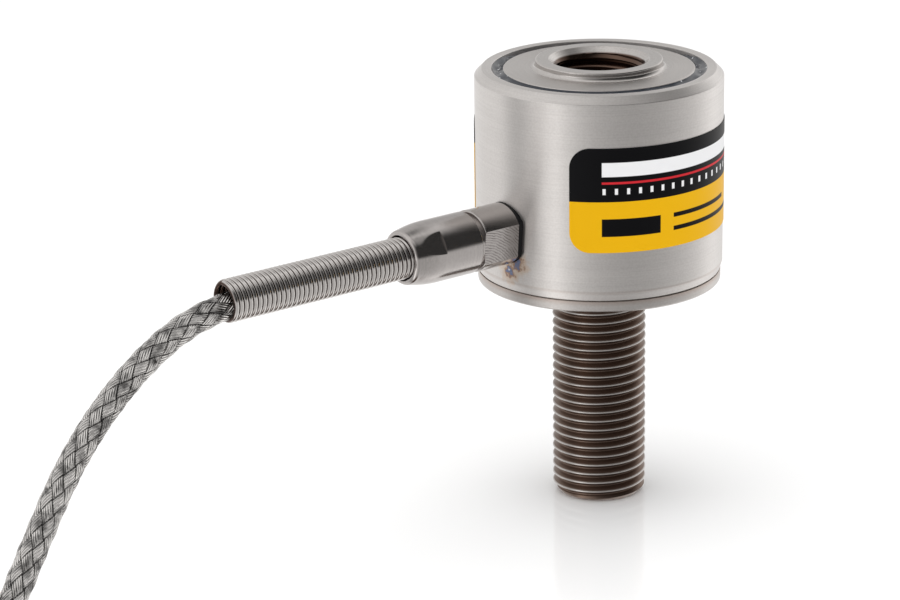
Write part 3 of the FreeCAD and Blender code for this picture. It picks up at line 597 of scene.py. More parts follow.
# %%
ROUTE = [
    (-50.0, 0.0, 39.95),
    (-63.2, 0.0, 39.95),
    (-74.5, -0.3, 35.3),
    (-86.0, -2.2, 26.6),
    (-96.0, -6.0, 15.2),
    (-106.0, -11.0, 5.0),
    (-115.0, -14.6, 1.7),
    (-124.6, -15.9, 1.7),
]
COIL = np.array([-134.0, 8.0])
LAYERS = 5
TURNS = 4.0
CLIMB = 0.6
PER_TURN = 16
COIL_OUTER = 26.5
COIL_INNER = 12.9
LOOSE_OUTER = 18.6
TOP_LAYER = CABLE_RADIUS * (2 * LAYERS - 1)


def coil_line():
    """Angle, radius and height of the coil's centreline, layer by layer, clockwise seen from above."""
    turn, radius, height = [], [], []
    at = 0.25
    for layer in range(LAYERS):
        level = CABLE_RADIUS + 2 * CABLE_RADIUS * layer
        share = np.arange(0, TURNS, 1 / PER_TURN) / TURNS
        first, last = (COIL_OUTER, COIL_INNER) if layer % 2 == 0 else (COIL_INNER, COIL_OUTER)
        turn.append(at + share * TURNS)
        radius.append(first + (last - first) * share)
        height.append(np.full(len(share), level))
        at += TURNS
        if layer < LAYERS - 1:
            share = np.arange(0, CLIMB, 1 / PER_TURN) / CLIMB
            turn.append(at + share * CLIMB)
            radius.append(np.full(len(share), last))
            height.append(level + 2 * CABLE_RADIUS * (0.5 - 0.5 * np.cos(share * math.pi)))
            at += CLIMB
    return np.concatenate(turn), np.concatenate(radius), np.concatenate(height), at


turn, radius, height, at = coil_line()
radius = radius / np.cos(math.pi / PER_TURN) ** 0.5
angle = -turn * FULL
coil_points = np.stack([COIL[0] + radius * np.cos(angle), COIL[1] + radius * np.sin(angle), height], axis=-1)
TAIL_ANGLE = math.radians(150)
tail_way = np.array([math.cos(TAIL_ANGLE), math.sin(TAIL_ANGLE)])
tail_side = np.array([-math.sin(TAIL_ANGLE), math.cos(TAIL_ANGLE)])
TAIL_HEIGHT = 17.0 + 1.95
TAIL_ASIDE = 15.0
chord_start = COIL + TAIL_ASIDE * tail_side - 9.0 * tail_way
start_angle = math.atan2(*(chord_start - COIL)[::-1])
last_turn = (-start_angle / FULL) % 1
span = (last_turn - at) % 1 + (1 if (last_turn - at) % 1 < 0.6 else 0)
steps = int(span * PER_TURN)
share = np.arange(0, steps) / steps
rise = np.clip(share * span / 0.35, 0, 1)
out = np.clip((share * span - 0.3) / (span - 0.3), 0, 1)
loose_radius = COIL_INNER + (LOOSE_OUTER - COIL_INNER) * out
loose_angle = -(at + share * span) * FULL
loose = np.stack(
    [
        COIL[0] + loose_radius * np.cos(loose_angle),
        COIL[1] + loose_radius * np.sin(loose_angle),
        TOP_LAYER + (TAIL_HEIGHT - TOP_LAYER) * (0.5 - 0.5 * np.cos(rise * math.pi)),
    ],
    axis=-1,
)
tail = [[*(COIL + TAIL_ASIDE * tail_side + along * tail_way), TAIL_HEIGHT] for along in (-6.0, 0.0)]
control = np.concatenate([np.array(ROUTE), coil_points, loose, np.array(tail)])

curve_data = bpy.data.curves.new("cable_line", "CURVE")
curve_data.dimensions = "3D"
curve_data.resolution_u = 6
spline = curve_data.splines.new("NURBS")
spline.points.add(len(control) - 1)
spline.points.foreach_set("co", np.concatenate([control * MM, np.ones((len(control), 1))], axis=1).ravel())
spline.order_u = 3
spline.use_endpoint_u = True
line_object = bpy.data.objects.new("cable_line", curve_data)
bpy.context.scene.collection.objects.link(line_object)
line_mesh = bpy.data.meshes.new_from_object(line_object)
line = np.empty(len(line_mesh.vertices) * 3, np.float32)
line_mesh.vertices.foreach_get("co", line)
line = line.reshape(-1, 3).astype(float) / MM
bpy.data.objects.remove(line_object)
bpy.data.meshes.remove(line_mesh)
gone = np.concatenate([[0], np.cumsum(np.linalg.norm(np.diff(line, axis=0), axis=1))])
CABLE_LENGTH = gone[-1]
print("cable:", len(control), "control points,", round(CABLE_LENGTH), "mm long")

# %% [markdown]
# The tube's rings stand square to the centreline, and each ring keeps one of its directions level. Where
# the picture sees the cable, the braid's bands are modelled: a band that goes over another one lifts.
# The coil is plainer, since fine relief on three metres of cable would take most of the mesh.

# %%
BANDS = 6
LAY = 20.0
SHOWN = 62.0


def braid_height(angle, along):
    """How far the braid stands out at an angle (radians) and a distance along the cable, in millimetres.

    Bands of both hands cross; where their counts add up to an even number the right-handed band is on
    top. A band is thickest at its middle, and between bands the core lies deeper.
    """
    right = BANDS * (angle / FULL + along / LAY)
    left = BANDS * (angle / FULL - along / LAY)
    wave = np.cos(math.pi * (right - np.floor(right) - 0.5)) * np.cos(math.pi * (left - np.floor(left) - 0.5))
    edge_right = np.abs(right - np.floor(right) - 0.5) * 2
    edge_left = np.abs(left - np.floor(left) - 0.5) * 2
    over_right = (np.floor(right) + np.floor(left)) % 2 == 0
    own = np.where(over_right, edge_right, edge_left)
    return 0.13 * wave - 0.14 * np.clip((own - 0.8) / 0.2, 0, 1)


def cable_tube(distances, around, relief):
    """Rings of a tube on the centreline at those distances."""
    centre = np.stack([np.interp(distances, gone, line[:, k]) for k in range(3)], axis=-1)
    ahead = np.stack([np.interp(distances + 0.4, gone, line[:, k]) for k in range(3)], axis=-1)
    behind = np.stack([np.interp(distances - 0.4, gone, line[:, k]) for k in range(3)], axis=-1)
    way = ahead - behind
    way /= np.linalg.norm(way, axis=1)[:, None]
    level = np.cross(way, [0, 0, 1])
    level /= np.linalg.norm(level, axis=1)[:, None]
    up = np.cross(level, way)
    angle = np.arange(around) * FULL / around
    lift = braid_height(angle[None, :], distances[:, None]) * relief if relief else 0.0
    radius = CABLE_RADIUS - 0.03 * relief + lift + np.zeros((len(distances), around))
    ring = level[:, None, :] * np.cos(angle)[None, :, None] + up[:, None, :] * np.sin(angle)[None, :, None]
    return centre[:, None, :] + radius[..., None] * ring


fine, fine_around = np.arange(0.0, SHOWN, 0.11), 84
coarse, coarse_around = np.append(np.arange(SHOWN, CABLE_LENGTH, 1.3), CABLE_LENGTH), 14
fine_part = cable_tube(fine, fine_around, 1.0)
coarse_part = cable_tube(coarse, coarse_around, 0.0)
cable = piece(
    "cable",
    joined(grid(fine_part, close_columns=True), grid(coarse_part, close_columns=True)),
    "cable_braid",
    "cable_run",
    "cable_coil",
    "cable_tail",
    sharp=80,
    merge=False,
)
uv = cable.data.uv_layers.new(name="braid")
place = []
for distances, around in ((fine, fine_around), (coarse, coarse_around)):
    cell = np.stack(np.meshgrid(distances[:-1], np.arange(around), indexing="ij"), axis=-1).reshape(-1, 2)
    step = np.repeat(np.diff(distances), around)
    turns = np.stack([cell[:, 1], cell[:, 1], cell[:, 1] + 1, cell[:, 1] + 1], axis=-1) / around
    far = np.stack([cell[:, 0], cell[:, 0] + step, cell[:, 0] + step, cell[:, 0]], axis=-1)
    place.append(np.stack([turns, far / 100], axis=-1).reshape(-1, 2))
uv.data.foreach_set("uv", np.concatenate(place).astype(np.float32).ravel())

# %% [markdown]
# ## Shader tools
#
# Every material is computed from the place on the object, in metres, since all pieces lie at the frame's
# origin. `wire` adds a shader node and gives its inputs values or links. Effects that several materials
# share are node groups, made once.

# %%
def wire(tree, kind, *values, out=0, **settings):
    """Adds a node, fills its inputs in order or by name, and returns one of its outputs."""
    made = tree.nodes.new(kind)
    named = settings.pop("named", {})
    for key, value in settings.items():
        setattr(made, key, value)
    for socket, value in [*zip(made.inputs, values), *((made.inputs[k], v) for k, v in named.items())]:
        if isinstance(value, bpy.types.NodeSocket):
            tree.links.new(value, socket)
        elif value is not None:
            socket.default_value = value
    return made.outputs[out]


def calc(tree, operation, *values):
    """One Math node."""
    return wire(tree, "ShaderNodeMath", *values, operation=operation)


def times(tree, first, second):
    """A product."""
    return calc(tree, "MULTIPLY", first, second)


def new_group(name, inputs, outputs):
    """An empty shader node group of float or vector sockets, with its inputs and outputs."""
    group = bpy.data.node_groups.new(name, "ShaderNodeTree")
    for direction, sockets in (("INPUT", inputs), ("OUTPUT", outputs)):
        for label_text, kind in sockets:
            group.interface.new_socket(name=label_text, in_out=direction, socket_type=f"NodeSocket{kind}")
    return group, group.nodes.new("NodeGroupInput").outputs, group.nodes.new("NodeGroupOutput").inputs


def use_group(tree, group, values, out=0):
    """Adds a group node to a material."""
    made = tree.nodes.new("ShaderNodeGroup")
    made.node_tree = group
    for key, value in values.items():
        if isinstance(value, bpy.types.NodeSocket):
            tree.links.new(value, made.inputs[key])
        else:
            made.inputs[key].default_value = value
    return made.outputs[out]


marks, given, results = new_group(
    "turning_marks", [("Place", "Vector"), ("Fineness", "Float")],
    [("Marks", "Float"), ("Blotches", "Float"), ("Grain", "Float")]
)
split = wire(marks, "ShaderNodeSeparateXYZ", given["Place"]).node
squares = [times(marks, output, output) for output in split.outputs[:2]]
flat_way = calc(marks, "SQRT", calc(marks, "ADD", *squares))
drift = wire(marks, "ShaderNodeTexNoise", given["Place"], named={"Scale": 120.0, "Detail": 2.0})
slide = times(marks, calc(marks, "SUBTRACT", drift, 0.5), 0.0004)
lines = wire(
    marks, "ShaderNodeCombineXYZ",
    times(marks, calc(marks, "ADD", flat_way, slide), given["Fineness"]),
    times(marks, split.outputs[0], 30.0),
    times(marks, calc(marks, "ADD", split.outputs[2], slide), given["Fineness"]),
)
fine_lines = wire(marks, "ShaderNodeTexNoise", lines, named={"Scale": 1.0, "Detail": 3.0, "Roughness": 0.6})
marks.links.new(fine_lines, results["Marks"])
for result, scale, detail in (("Blotches", 260.0, 4.0), ("Grain", 3800.0, 2.0)):
    noise = wire(marks, "ShaderNodeTexNoise", given["Place"], named={"Scale": scale, "Detail": detail})
    marks.links.new(noise, results[result])


def material(name):
    """A new material with its Principled BSDF, which every finish here sets."""
    made = bpy.data.materials.new(name)
    made.use_nodes = True
    return made, made.node_tree, made.node_tree.nodes["Principled BSDF"]


def place_on(tree, axis="stud"):
    """The place on the object: in the row frame, or with Z along the gland's axis."""
    here = wire(tree, "ShaderNodeTexCoord", out=3)
    if axis == "stud":
        return here
    cut = wire(tree, "ShaderNodeSeparateXYZ", here).node
    up = calc(tree, "SUBTRACT", cut.outputs[2], GLAND_Z * MM)
    return wire(tree, "ShaderNodeCombineXYZ", up, cut.outputs[1], times(tree, cut.outputs[0], -1.0))


def blend_colour(tree, share, first, second):
    """A colour between two colours, or between a link and a colour."""
    mix = tree.nodes.new("ShaderNodeMix")
    mix.data_type = "RGBA"
    for socket, value in ((mix.inputs["Factor"], share), (mix.inputs[6], first), (mix.inputs[7], second)):
        if isinstance(value, bpy.types.NodeSocket):
            tree.links.new(value, socket)
        else:
            socket.default_value = value if isinstance(value, float) else (*value, 1.0)
    return mix.outputs[2]


def darker(colour, share):
    """A colour times a number."""
    return tuple(c * share for c in colour)


def between(tree, value, start, end):
    """0 at the start and 1 at the end of a range, which may run downward."""
    return wire(tree, "ShaderNodeMapRange", value, start, end, 0.0, 1.0)


def steel(
    name, colour, roughness, fineness, relief, axis="stud", spread=0.1, streak=0.1, grain=0.1, stretch=0.0
):
    """Turned steel: fine lines round the axis in relief, roughness and tone, with faint blotches.

    A turned surface spreads a reflection across its lines, so round the stud's axis the gloss is stretched.
    """
    made, tree, shader = material(name)
    here = place_on(tree, axis)
    group = use_group(tree, marks, {"Place": here, "Fineness": fineness})
    blotch, speck = group.node.outputs["Blotches"], group.node.outputs["Grain"]
    rough = calc(tree, "SUBTRACT", calc(tree, "MULTIPLY_ADD", group, spread, roughness - spread / 2), 0.05)
    tree.links.new(calc(tree, "MULTIPLY_ADD", blotch, 0.1, rough), shader.inputs["Roughness"])
    tone = blend_colour(tree, blotch, darker(colour, 0.88), colour)
    tone = blend_colour(tree, times(tree, group, streak * 2), tone, (0.0, 0.0, 0.0))
    lighter = times(tree, between(tree, speck, 0.35, 0.65), grain)
    tree.links.new(blend_colour(tree, lighter, tone, (1.0, 0.99, 0.98)), shader.inputs["Base Color"])
    shader.inputs["Metallic"].default_value = 1.0
    shader.inputs["Anisotropic"].default_value = stretch
    shader.inputs["Anisotropic Rotation"].default_value = 0.25
    height = calc(tree, "MULTIPLY_ADD", speck, grain * 2, group)
    bump = wire(tree, "ShaderNodeBump", named={"Strength": 1.0, "Distance": relief, "Height": height})
    tree.links.new(bump, shader.inputs["Normal"])
    return made


def turned_place(tree, axis="stud"):
    """Distance from the axis and height along it, in millimetres, and the two directions across it."""
    cut = wire(tree, "ShaderNodeSeparateXYZ", place_on(tree, axis)).node
    x, y, z = (times(tree, output, 1000.0) for output in cut.outputs)
    far = calc(tree, "SQRT", calc(tree, "ADD", times(tree, x, x), times(tree, y, y)))
    return far, z, x, y


def distance_from(tree, spot):
    """Distance from a spot, in millimetres, uneven by a little noise."""
    here = place_on(tree)
    away = wire(tree, "ShaderNodeVectorMath", here, tuple(c * MM for c in spot), operation="DISTANCE", out=1)
    noise = wire(tree, "ShaderNodeTexNoise", here, named={"Scale": 1500.0, "Detail": 4.0})
    uneven = calc(tree, "MULTIPLY_ADD", noise, 2.4, -1.2)
    return calc(tree, "ADD", times(tree, away, 1000.0), uneven)


def tint(made, share, colour):
    """Blends a colour into a finish where the share is above 0."""
    tree = made.node_tree
    shader = tree.nodes["Principled BSDF"]
    before = shader.inputs["Base Color"].links[0].from_socket
    tree.links.new(blend_colour(tree, share, before, colour), shader.inputs["Base Color"])


def polish(made, share, roughness):
    """Draws a finish's roughness to a value where the share is above 0."""
    tree = made.node_tree
    shader = tree.nodes["Principled BSDF"]
    before = shader.inputs["Roughness"].links[0].from_socket
    change = calc(tree, "SUBTRACT", roughness, before)
    tree.links.new(calc(tree, "MULTIPLY_ADD", change, share, before), shader.inputs["Roughness"])


def plain(name, colour, roughness, grain=0.0, metallic=0.0, specular=0.5):
    """A plain finish with a faint uneven surface."""
    made, tree, shader = material(name)
    here = place_on(tree)
    noise = wire(tree, "ShaderNodeTexNoise", here, named={"Scale": 900.0, "Detail": 3.0})
    tree.links.new(calc(tree, "MULTIPLY_ADD", noise, 0.12, roughness - 0.06), shader.inputs["Roughness"])
    tone = blend_colour(tree, noise, darker(colour, 0.85), colour)
    tree.links.new(tone, shader.inputs["Base Color"])
    shader.inputs["Metallic"].default_value = metallic
    shader.inputs["Specular IOR Level"].default_value = specular
    if grain:
        bump = wire(tree, "ShaderNodeBump", named={"Strength": 1.0, "Distance": grain, "Height": noise})
        tree.links.new(bump, shader.inputs["Normal"])
    return made


def dress(made, *things):
    """Gives objects one material."""
    for thing in things:
        thing.data.materials.clear()
        thing.data.materials.append(made)


# %% [markdown]
# ## Finishes
#
# The sensing element is bright where a cutter ran. Shade is painted into its colour as dark brown: in the
# grooves of both threads, in the bore and beside the seam. Its boss is polished. The places are given as
# distances from the axis and heights, so each tint stays with its feature.

# %%
element_steel = steel("turned_steel", (0.66, 0.63, 0.61), 0.34, 9000.0, 0.000003, stretch=0.7)
tree = element_steel.node_tree
far, tall, _, _ = turned_place(tree)
# Painted shade: the stud's flanks and roots are coloured dark brown, standing in for the shade they reflect.
under_flange = between(tree, tall, STUD_TOP + 0.15, STUD_TOP - 0.05)
painted_flank_shade = times(tree, between(tree, far, 6.30, 6.16), under_flange)
tint(element_steel, times(tree, painted_flank_shade, 0.96), (0.17, 0.115, 0.088))
# Painted shade: the bore and its thread are coloured dark brown, as shade inside the hole.
painted_bore_shade = times(tree, between(tree, far, 6.62, 6.5), between(tree, tall, 45.0, 46.0))
painted_bore_shade = times(tree, painted_bore_shade, between(tree, tall, BOSS_TOP - 0.62, BOSS_TOP - 0.8))
tint(element_steel, painted_bore_shade, (0.13, 0.085, 0.065))
# Painted shade: a brown band on the flange just under the shell's seam.
painted_seam_shade = between(tree, calc(tree, "ABSOLUTE", calc(tree, "SUBTRACT", tall, FLANGE_TOP)), 0.75, 0.1)
tint(element_steel, times(tree, painted_seam_shade, 0.5), (0.42, 0.31, 0.25))
boss = times(tree, between(tree, far, 9.3, 8.8), between(tree, tall, 55.0, 56.0))
polish(element_steel, boss, 0.12)
dress(element_steel, element)

# %% [markdown]
# The shell is turned too, with a faint painted shade beside the seam. Beside the gland a weld has left heat
# tint: rings of straw, brown and blue that follow the distance from two hot spots, and a painted white
# highlight at their middle.

# %%
shell_steel = steel("shell_steel", (0.80, 0.77, 0.75), 0.36, 7000.0, 0.000004, stretch=0.75, grain=0.14)
tree = shell_steel.node_tree
_, tall, _, _ = turned_place(tree)
# Painted shade: a faint brown band at the shell's lower edge, beside the seam.
painted_seam_shade = between(tree, calc(tree, "ABSOLUTE", calc(tree, "SUBTRACT", tall, 33.35)), 0.3, 0.1)
tint(shell_steel, times(tree, painted_seam_shade, 0.18), (0.40, 0.28, 0.22))
spots = [distance_from(tree, spot) for spot in ((-16.6, -1.2, 34.9), (-16.45, -2.6, 36.1))]
heat = calc(tree, "MINIMUM", *spots)
tint(shell_steel, times(tree, between(tree, heat, 2.2, 1.0), 0.55), (0.62, 0.42, 0.26))
tint(shell_steel, times(tree, between(tree, heat, 1.1, 0.75), 0.75), (0.30, 0.16, 0.10))
tint(shell_steel, times(tree, between(tree, heat, 0.7, 0.5), 0.8), (0.16, 0.24, 0.42))
# Painted highlight: white glints at the middle of the hot spots.
tint(shell_steel, between(tree, heat, 0.2, 0.0), (0.85, 0.86, 0.9))
dress(shell_steel, shell)

# %% [markdown]
# The gland's lines run round its own axis. Its wrench flats were cut by an end mill, which leaves arcs: a
# wave of the distance from a point beside the flat.

# %%
gland_steel = steel(
    "gland_steel", (0.62, 0.585, 0.57), 0.16, 12000.0, 0.000004, "gland", spread=0.1, streak=0.16, grain=0.05
)
tree = gland_steel.node_tree
far, along, up_way, side_way = turned_place(tree, "gland")
from_middle = calc(tree, "ABSOLUTE", calc(tree, "ADD", side_way, times(tree, up_way, 0.07)))
on_flat = between(tree, from_middle, 3.44, 3.46)
on_flat = times(tree, on_flat, between(tree, far, 4.12, 4.08))
on_flat = times(tree, on_flat, between(tree, along, 22.7, 22.6))
offsets = (calc(tree, "ADD", up_way, 6.0), calc(tree, "SUBTRACT", along, 23.5))
swing = calc(tree, "SQRT", calc(tree, "ADD", *(calc(tree, "POWER", offset, 2.0) for offset in offsets)))
wobble = wire(tree, "ShaderNodeTexNoise", place_on(tree, "gland"), named={"Scale": 900.0, "Detail": 3.0})
arcs = calc(tree, "SINE", times(tree, calc(tree, "MULTIPLY_ADD", wobble, 0.5, swing), FULL / 0.34))
depth = wire(tree, "ShaderNodeMapRange", wobble, 0.35, 0.6, 0.25, 0.8)
arcs = times(tree, between(tree, arcs, -0.2, 1.0), depth)
tint(gland_steel, times(tree, arcs, on_flat), (0.16, 0.14, 0.135))
dress(gland_steel, gland, nut)

# %% [markdown]
# The spring's wire has painted shade on its inner side, so it is bright on its outside and dark between its
# turns. The sealant is glossy, with a few white specks on it painted as dust and as glints.

# %%
spring_steel = steel("spring_steel", (0.78, 0.75, 0.73), 0.14, 6000.0, 0.000001, "gland", spread=0.04)
tree = spring_steel.node_tree
far, _, _, _ = turned_place(tree, "gland")
# Painted shade: the wire is dark on its inner side, between the turns and inside the coil.
tint(spring_steel, between(tree, far, 2.72, 2.58), (0.09, 0.06, 0.05))
dress(spring_steel, spring)

sealant = plain("black_sealant", (0.012, 0.016, 0.026), 0.12, grain=0.00001, specular=0.6)
tree = sealant.node_tree
dust_and_glints = wire(tree, "ShaderNodeTexNoise", place_on(tree), named={"Scale": 1300.0, "Detail": 3.0})
# White specks on the sealant: dust, and painted glints of light.
tint(sealant, between(tree, dust_and_glints, 0.68, 0.72), (0.65, 0.66, 0.68))
dress(sealant, seal)
dress(plain("black_rubber", (0.008, 0.008, 0.009), 0.5, grain=0.00001, specular=0.2), gasket)


# %% [markdown]
# The label's print is made of plain bars: the share of the film that is inside all four sides of a bar.

# %%
bar, given, results = new_group(
    "printed_bar",
    [(side, "Float") for side in ("Across", "Up", "Left", "Right", "Bottom", "Top")],
    [("Ink", "Float")],
)
sides = [
    calc(bar, "SUBTRACT", given["Across"], given["Left"]),
    calc(bar, "SUBTRACT", given["Right"], given["Across"]),
    calc(bar, "SUBTRACT", given["Up"], given["Bottom"]),
    calc(bar, "SUBTRACT", given["Top"], given["Up"]),
]
nearest = calc(bar, "MINIMUM", calc(bar, "MINIMUM", *sides[:2]), calc(bar, "MINIMUM", *sides[2:]))
bar.links.new(between(bar, nearest, -0.03, 0.03), results["Ink"])


def printed_film(name, layers):
    """A film with bars of ink: each layer is a colour and its bars of (left, right, bottom, top)."""
    made, tree, shader = material(name)
    flat = wire(tree, "ShaderNodeUVMap", uv_map="print")
    cut = wire(tree, "ShaderNodeSeparateXYZ", flat).node
    colour = (0.83, 0.45, 0.001)
    for ink, bars in layers:
        share = None
        for bounds in bars:
            edges = dict(zip(("Left", "Right", "Bottom", "Top"), bounds))
            one = use_group(tree, bar, {"Across": cut.outputs[0], "Up": cut.outputs[1], **edges})
            share = one if share is None else calc(tree, "MAXIMUM", share, one)
        colour = blend_colour(tree, share, colour, ink)
    tree.links.new(colour, shader.inputs["Base Color"])
    shader.inputs["Roughness"].default_value = 0.4
    shader.inputs["Specular IOR Level"].default_value = 0.12
    return made


BLACK = (0.002, 0.002, 0.003)
WHITE = (0.86, 0.86, 0.87)
RED = (0.62, 0.02, 0.03)
ticks = [(-12.9 + 1.6 * k, -12.5 + 1.6 * k, 7.9, 8.7) for k in range(17)]
rules = [(-11.5, 11.5, low, low + 0.3) for low in (1.6, 3.9, 6.2)]
front_film = printed_film(
    "label_front",
    [
        (BLACK, [(-20, 20, 6.9, 20)]),
        (WHITE, [(-13.0, 13.0, 10.3, 12.2), *ticks]),
        (RED, [(-13.0, 13.0, 9.3, 9.6)]),
        (BLACK, [(-13.0, -5.0, 2.2, 4.6), (-3.0, 13.0, 2.2, 2.8), (-3.0, 9.0, 4.0, 4.6)]),
    ],
)
rear_film = printed_film(
    "label_rear",
    [
        (BLACK, [(-20, 20, 10.7, 20), *rules, (-11.5, 3.0, 8.4, 8.7)]),
        (WHITE, [(-11.5, -2.0, 11.8, 12.8)]),
    ],
)
dress(front_film, front)
dress(rear_film, rear)


def braid(name, colour, wires=5.0):
    """Bands of bright wires over each other. The UV map holds (share of a turn, distance / 100 mm).

    Across a band each wire's height is a half wave; between the wires and at the band's edges shade is
    painted dark into the colour.
    """
    made, tree, shader = material(name)
    flat = wire(tree, "ShaderNodeUVMap", uv_map="braid")
    cut = wire(tree, "ShaderNodeSeparateXYZ", flat).node
    advance = times(tree, cut.outputs[1], 100.0 / LAY)
    hands = []
    for sign in (1.0, -1.0):
        turned = calc(tree, "MULTIPLY_ADD", advance, sign, cut.outputs[0])
        count = times(tree, turned, float(BANDS))
        inside_band = calc(tree, "FRACT", count)
        wave = calc(tree, "SINE", times(tree, inside_band, math.pi * wires))
        rim = times(tree, calc(tree, "ABSOLUTE", calc(tree, "SUBTRACT", inside_band, 0.5)), 2.0)
        hands.append((calc(tree, "FLOOR", count), calc(tree, "ABSOLUTE", wave), rim))
    odd = calc(tree, "MODULO", calc(tree, "ADD", calc(tree, "ADD", hands[0][0], hands[1][0]), 4000.0), 2.0)
    picked = []
    for k in (1, 2):
        difference = calc(tree, "SUBTRACT", hands[1][k], hands[0][k])
        picked.append(calc(tree, "MULTIPLY_ADD", difference, odd, hands[0][k]))
    # Painted shade: nearly black in the gaps between bands and darker in the creases between wires.
    gap = wire(tree, "ShaderNodeMapRange", picked[1], 0.82, 0.97, 1.0, 0.0)  # 0 between two bands
    groove = between(tree, picked[0], 0.0, 0.45)
    tone = times(tree, gap, calc(tree, "MULTIPLY_ADD", groove, 0.7, 0.3))
    patchy = wire(tree, "ShaderNodeTexNoise", place_on(tree), named={"Scale": 700.0, "Detail": 3.0})
    tone = times(tree, tone, between(tree, patchy, 0.25, 0.55))
    tree.links.new(blend_colour(tree, tone, darker(colour, 0.05), colour), shader.inputs["Base Color"])
    shader.inputs["Metallic"].default_value = 1.0
    shader.inputs["Roughness"].default_value = 0.2
    height = times(tree, picked[0], gap)
    bump = wire(tree, "ShaderNodeBump", named={"Strength": 1.0, "Distance": 0.00012, "Height": height})
    tree.links.new(bump, shader.inputs["Normal"])
    return made


dress(braid("cable_braid", (0.95, 0.93, 0.91)), cable)
dress(gland_steel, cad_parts["cable_inner"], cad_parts["clamp_washer"])
plain_finishes = {
    "gauge_foil": ((0.75, 0.45, 0.12), 0.4, [f"strain_gauge_{k}" for k in (1, 2, 3, 4)]),
    "board_green": ((0.05, 0.30, 0.12), 0.35, ["bridge_board"]),
    "solder": ((0.75, 0.75, 0.75), 0.3, ["solder_pads"]),
    "resistor_black": ((0.04, 0.04, 0.04), 0.5, ["balance_resistor", "span_resistor"]),
    "copper_wire": ((0.72, 0.42, 0.25), 0.3, ["jumper_wires"]),
    "red_insulation": ((0.60, 0.03, 0.02), 0.4, ["conductor_red", "lead_red"]),
    "black_insulation": ((0.02, 0.02, 0.02), 0.4, ["conductor_black", "lead_black"]),
    "green_insulation": ((0.03, 0.30, 0.08), 0.4, ["conductor_green", "lead_green"]),
    "white_insulation": ((0.82, 0.82, 0.80), 0.4, ["conductor_white", "lead_white"]),
    "black_sleeve": ((0.02, 0.02, 0.02), 0.4, ["cable_bush", "coil_tie", "end_sleeve"]),
}
for name, (colour, roughness, members) in plain_finishes.items():
    metallic = 1.0 if name in ("solder", "copper_wire") else 0.0
    dress(plain(name, colour, roughness, metallic=metallic), *[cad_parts[m] for m in members])
for name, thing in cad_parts.items():
    if not thing.hide_render:
        thing.data.polygons.foreach_set("use_smooth", np.ones(len(thing.data.polygons), bool))
        thing.data.set_sharp_from_angle(angle=math.radians(35))
print("materials:", len(bpy.data.materials))

# %% [markdown]
# ## Studio
#
# A white bench, a wide soft light above it, and a room that only reflections see. Steel shows its
# surroundings, so the room is painted as three rings of brightness: the bench below the horizon, the
# walls, with a dark side that gives the gland its black band, and the ceiling. The directions are counted
# from the camera's side, in degrees.

# %%
scene = bpy.context.scene
scene.view_settings.view_transform = "Standard"
world = bpy.data.worlds.new("studio")
scene.world = world
world.use_nodes = True
sky = world.node_tree
background = sky.nodes["Background"]


def ramp(tree, factor, stops):
    """A colour ramp through (position, colour) stops."""
    made = tree.nodes.new("ShaderNodeValToRGB")
    elements = made.color_ramp.elements
    while len(elements) < len(stops):
        elements.new(0.5)
    for element_of_ramp, (position, colour) in zip(elements, stops):
        element_of_ramp.position = position
        element_of_ramp.color = (*colour, 1.0)
    tree.links.new(factor, made.inputs[0])
    return made.outputs[0]


TABLE = [
    (-180, 1.00), (-158, 0.95), (-140, 0.92), (-106, 0.92), (-97, 0.84), (-90, 0.50), (-76, 0.45),
    (-69, 0.72), (-62, 1.30), (-50, 1.75), (-42, 1.30), (-34, 1.0), (-24, 0.86), (-10, 0.69), (5, 0.60),
    (20, 0.55), (35, 0.52), (60, 0.586), (78, 0.70), (98, 0.85), (115, 1.05), (128, 1.2), (145, 1.0),
    (167, 0.92), (180, 1.00),
]
WALLS = [
    (-180, 0.60), (-160, 0.70), (-130, 0.80), (-100, 0.85), (-70, 0.95), (-45, 0.85), (-20, 0.35),
    (10, 0.08), (40, 0.04), (95, 0.04), (105, 0.16), (125, 0.55), (140, 1.00), (150, 1.05), (163, 0.80),
    (180, 0.60),
]
CEILING = [
    (-180, 0.18), (-120, 0.75), (-60, 0.95), (0, 0.80), (90, 0.45), (125, 0.85), (150, 0.60), (180, 0.18),
]
CAMERA_SIDE = 130.94
way = wire(sky, "ShaderNodeTexCoord", out=0)
cut = wire(sky, "ShaderNodeSeparateXYZ", way).node
turns_round = calc(sky, "DIVIDE", calc(sky, "ARCTAN2", cut.outputs[1], cut.outputs[0]), FULL)
round_about = calc(sky, "FRACT", calc(sky, "ADD", turns_round, CAMERA_SIDE / 360 + 0.5))
level = times(sky, calc(sky, "ARCSINE", cut.outputs[2]), 180 / math.pi)


def ring_of(stops):
    """The brightness round the horizon at one height, as a ramp over the direction."""
    return ramp(sky, round_about, [((a + 180) / 360, (v, v * 0.985, v * 0.97)) for a, v in stops])


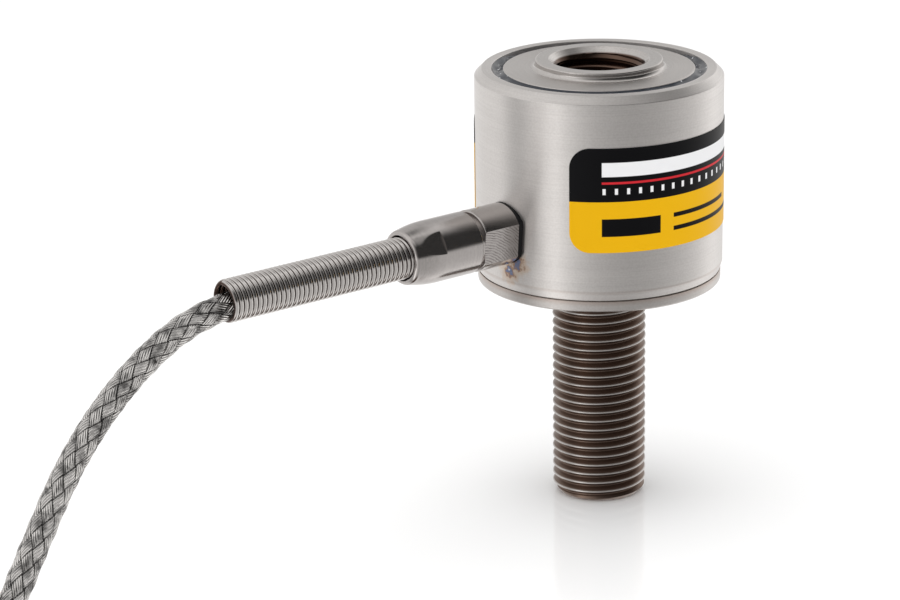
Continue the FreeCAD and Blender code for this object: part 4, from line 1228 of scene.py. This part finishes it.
below = blend_colour(sky, between(sky, level, -76.0, -64.0), (0.10, 0.07, 0.055), ring_of(TABLE))
around = blend_colour(sky, between(sky, level, -2.0, 6.0), below, ring_of(WALLS))
whole = blend_colour(sky, between(sky, level, 46.0, 66.0), around, ring_of(CEILING))
glossy = wire(sky, "ShaderNodeLightPath").node.outputs["Is Glossy Ray"]
sky.links.new(blend_colour(sky, glossy, (1.0, 1.0, 1.0), whole), background.inputs["Color"])
background.inputs["Strength"].default_value = 1.0


# %% [markdown]
# The bench stands a hair below the stud's end. The camera's place and its three directions were fitted to
# the photograph's ellipses and edges.

# %%
floor_mesh = bpy.data.meshes.new("floor")
floor_mesh.from_pydata([(-3, -3, 0), (3, -3, 0), (3, 3, 0), (-3, 3, 0)], [], [(0, 1, 2, 3)])
floor = bpy.data.objects.new("floor", floor_mesh)
floor.location = (0, 0, -0.00002)
scene.collection.objects.link(floor)
made, tree, shader = material("floor")
shader.inputs["Base Color"].default_value = (0.95, 0.95, 0.95, 1)
shader.inputs["Roughness"].default_value = 0.08
shader.inputs["Specular IOR Level"].default_value = 1.0
dress(made, floor)
floor.visible_glossy = False

camera_data = bpy.data.cameras.new("camera")
camera_data.lens = 142.0
camera_data.sensor_width = 36.0
camera = bpy.data.objects.new("camera", camera_data)
right = np.array([0.78089, -0.62458, -0.01291])
up = np.array([0.20173, 0.23254, 0.95144])
forward = np.array([0.59125, 0.74556, -0.30758])
pose = np.eye(4)
pose[:3, 0], pose[:3, 1], pose[:3, 2] = right, up, -forward
pose[:3, 3] = (-0.3012, -0.3472, 0.1758)
camera.matrix_world = Matrix(pose.tolist())
scene.collection.objects.link(camera)
scene.camera = camera


key_data = bpy.data.lights.new("key", "AREA")
key_data.size = 1.0
key_data.energy = 5.0
key = bpy.data.objects.new("key", key_data)
key.location = (-0.1, 0.1, 1.0)
key.rotation_mode = "QUATERNION"
key.rotation_quaternion = (key.location - Vector((0, 0, 0.04))).to_track_quat("Z", "Y")
key.visible_glossy = False
scene.collection.objects.link(key)
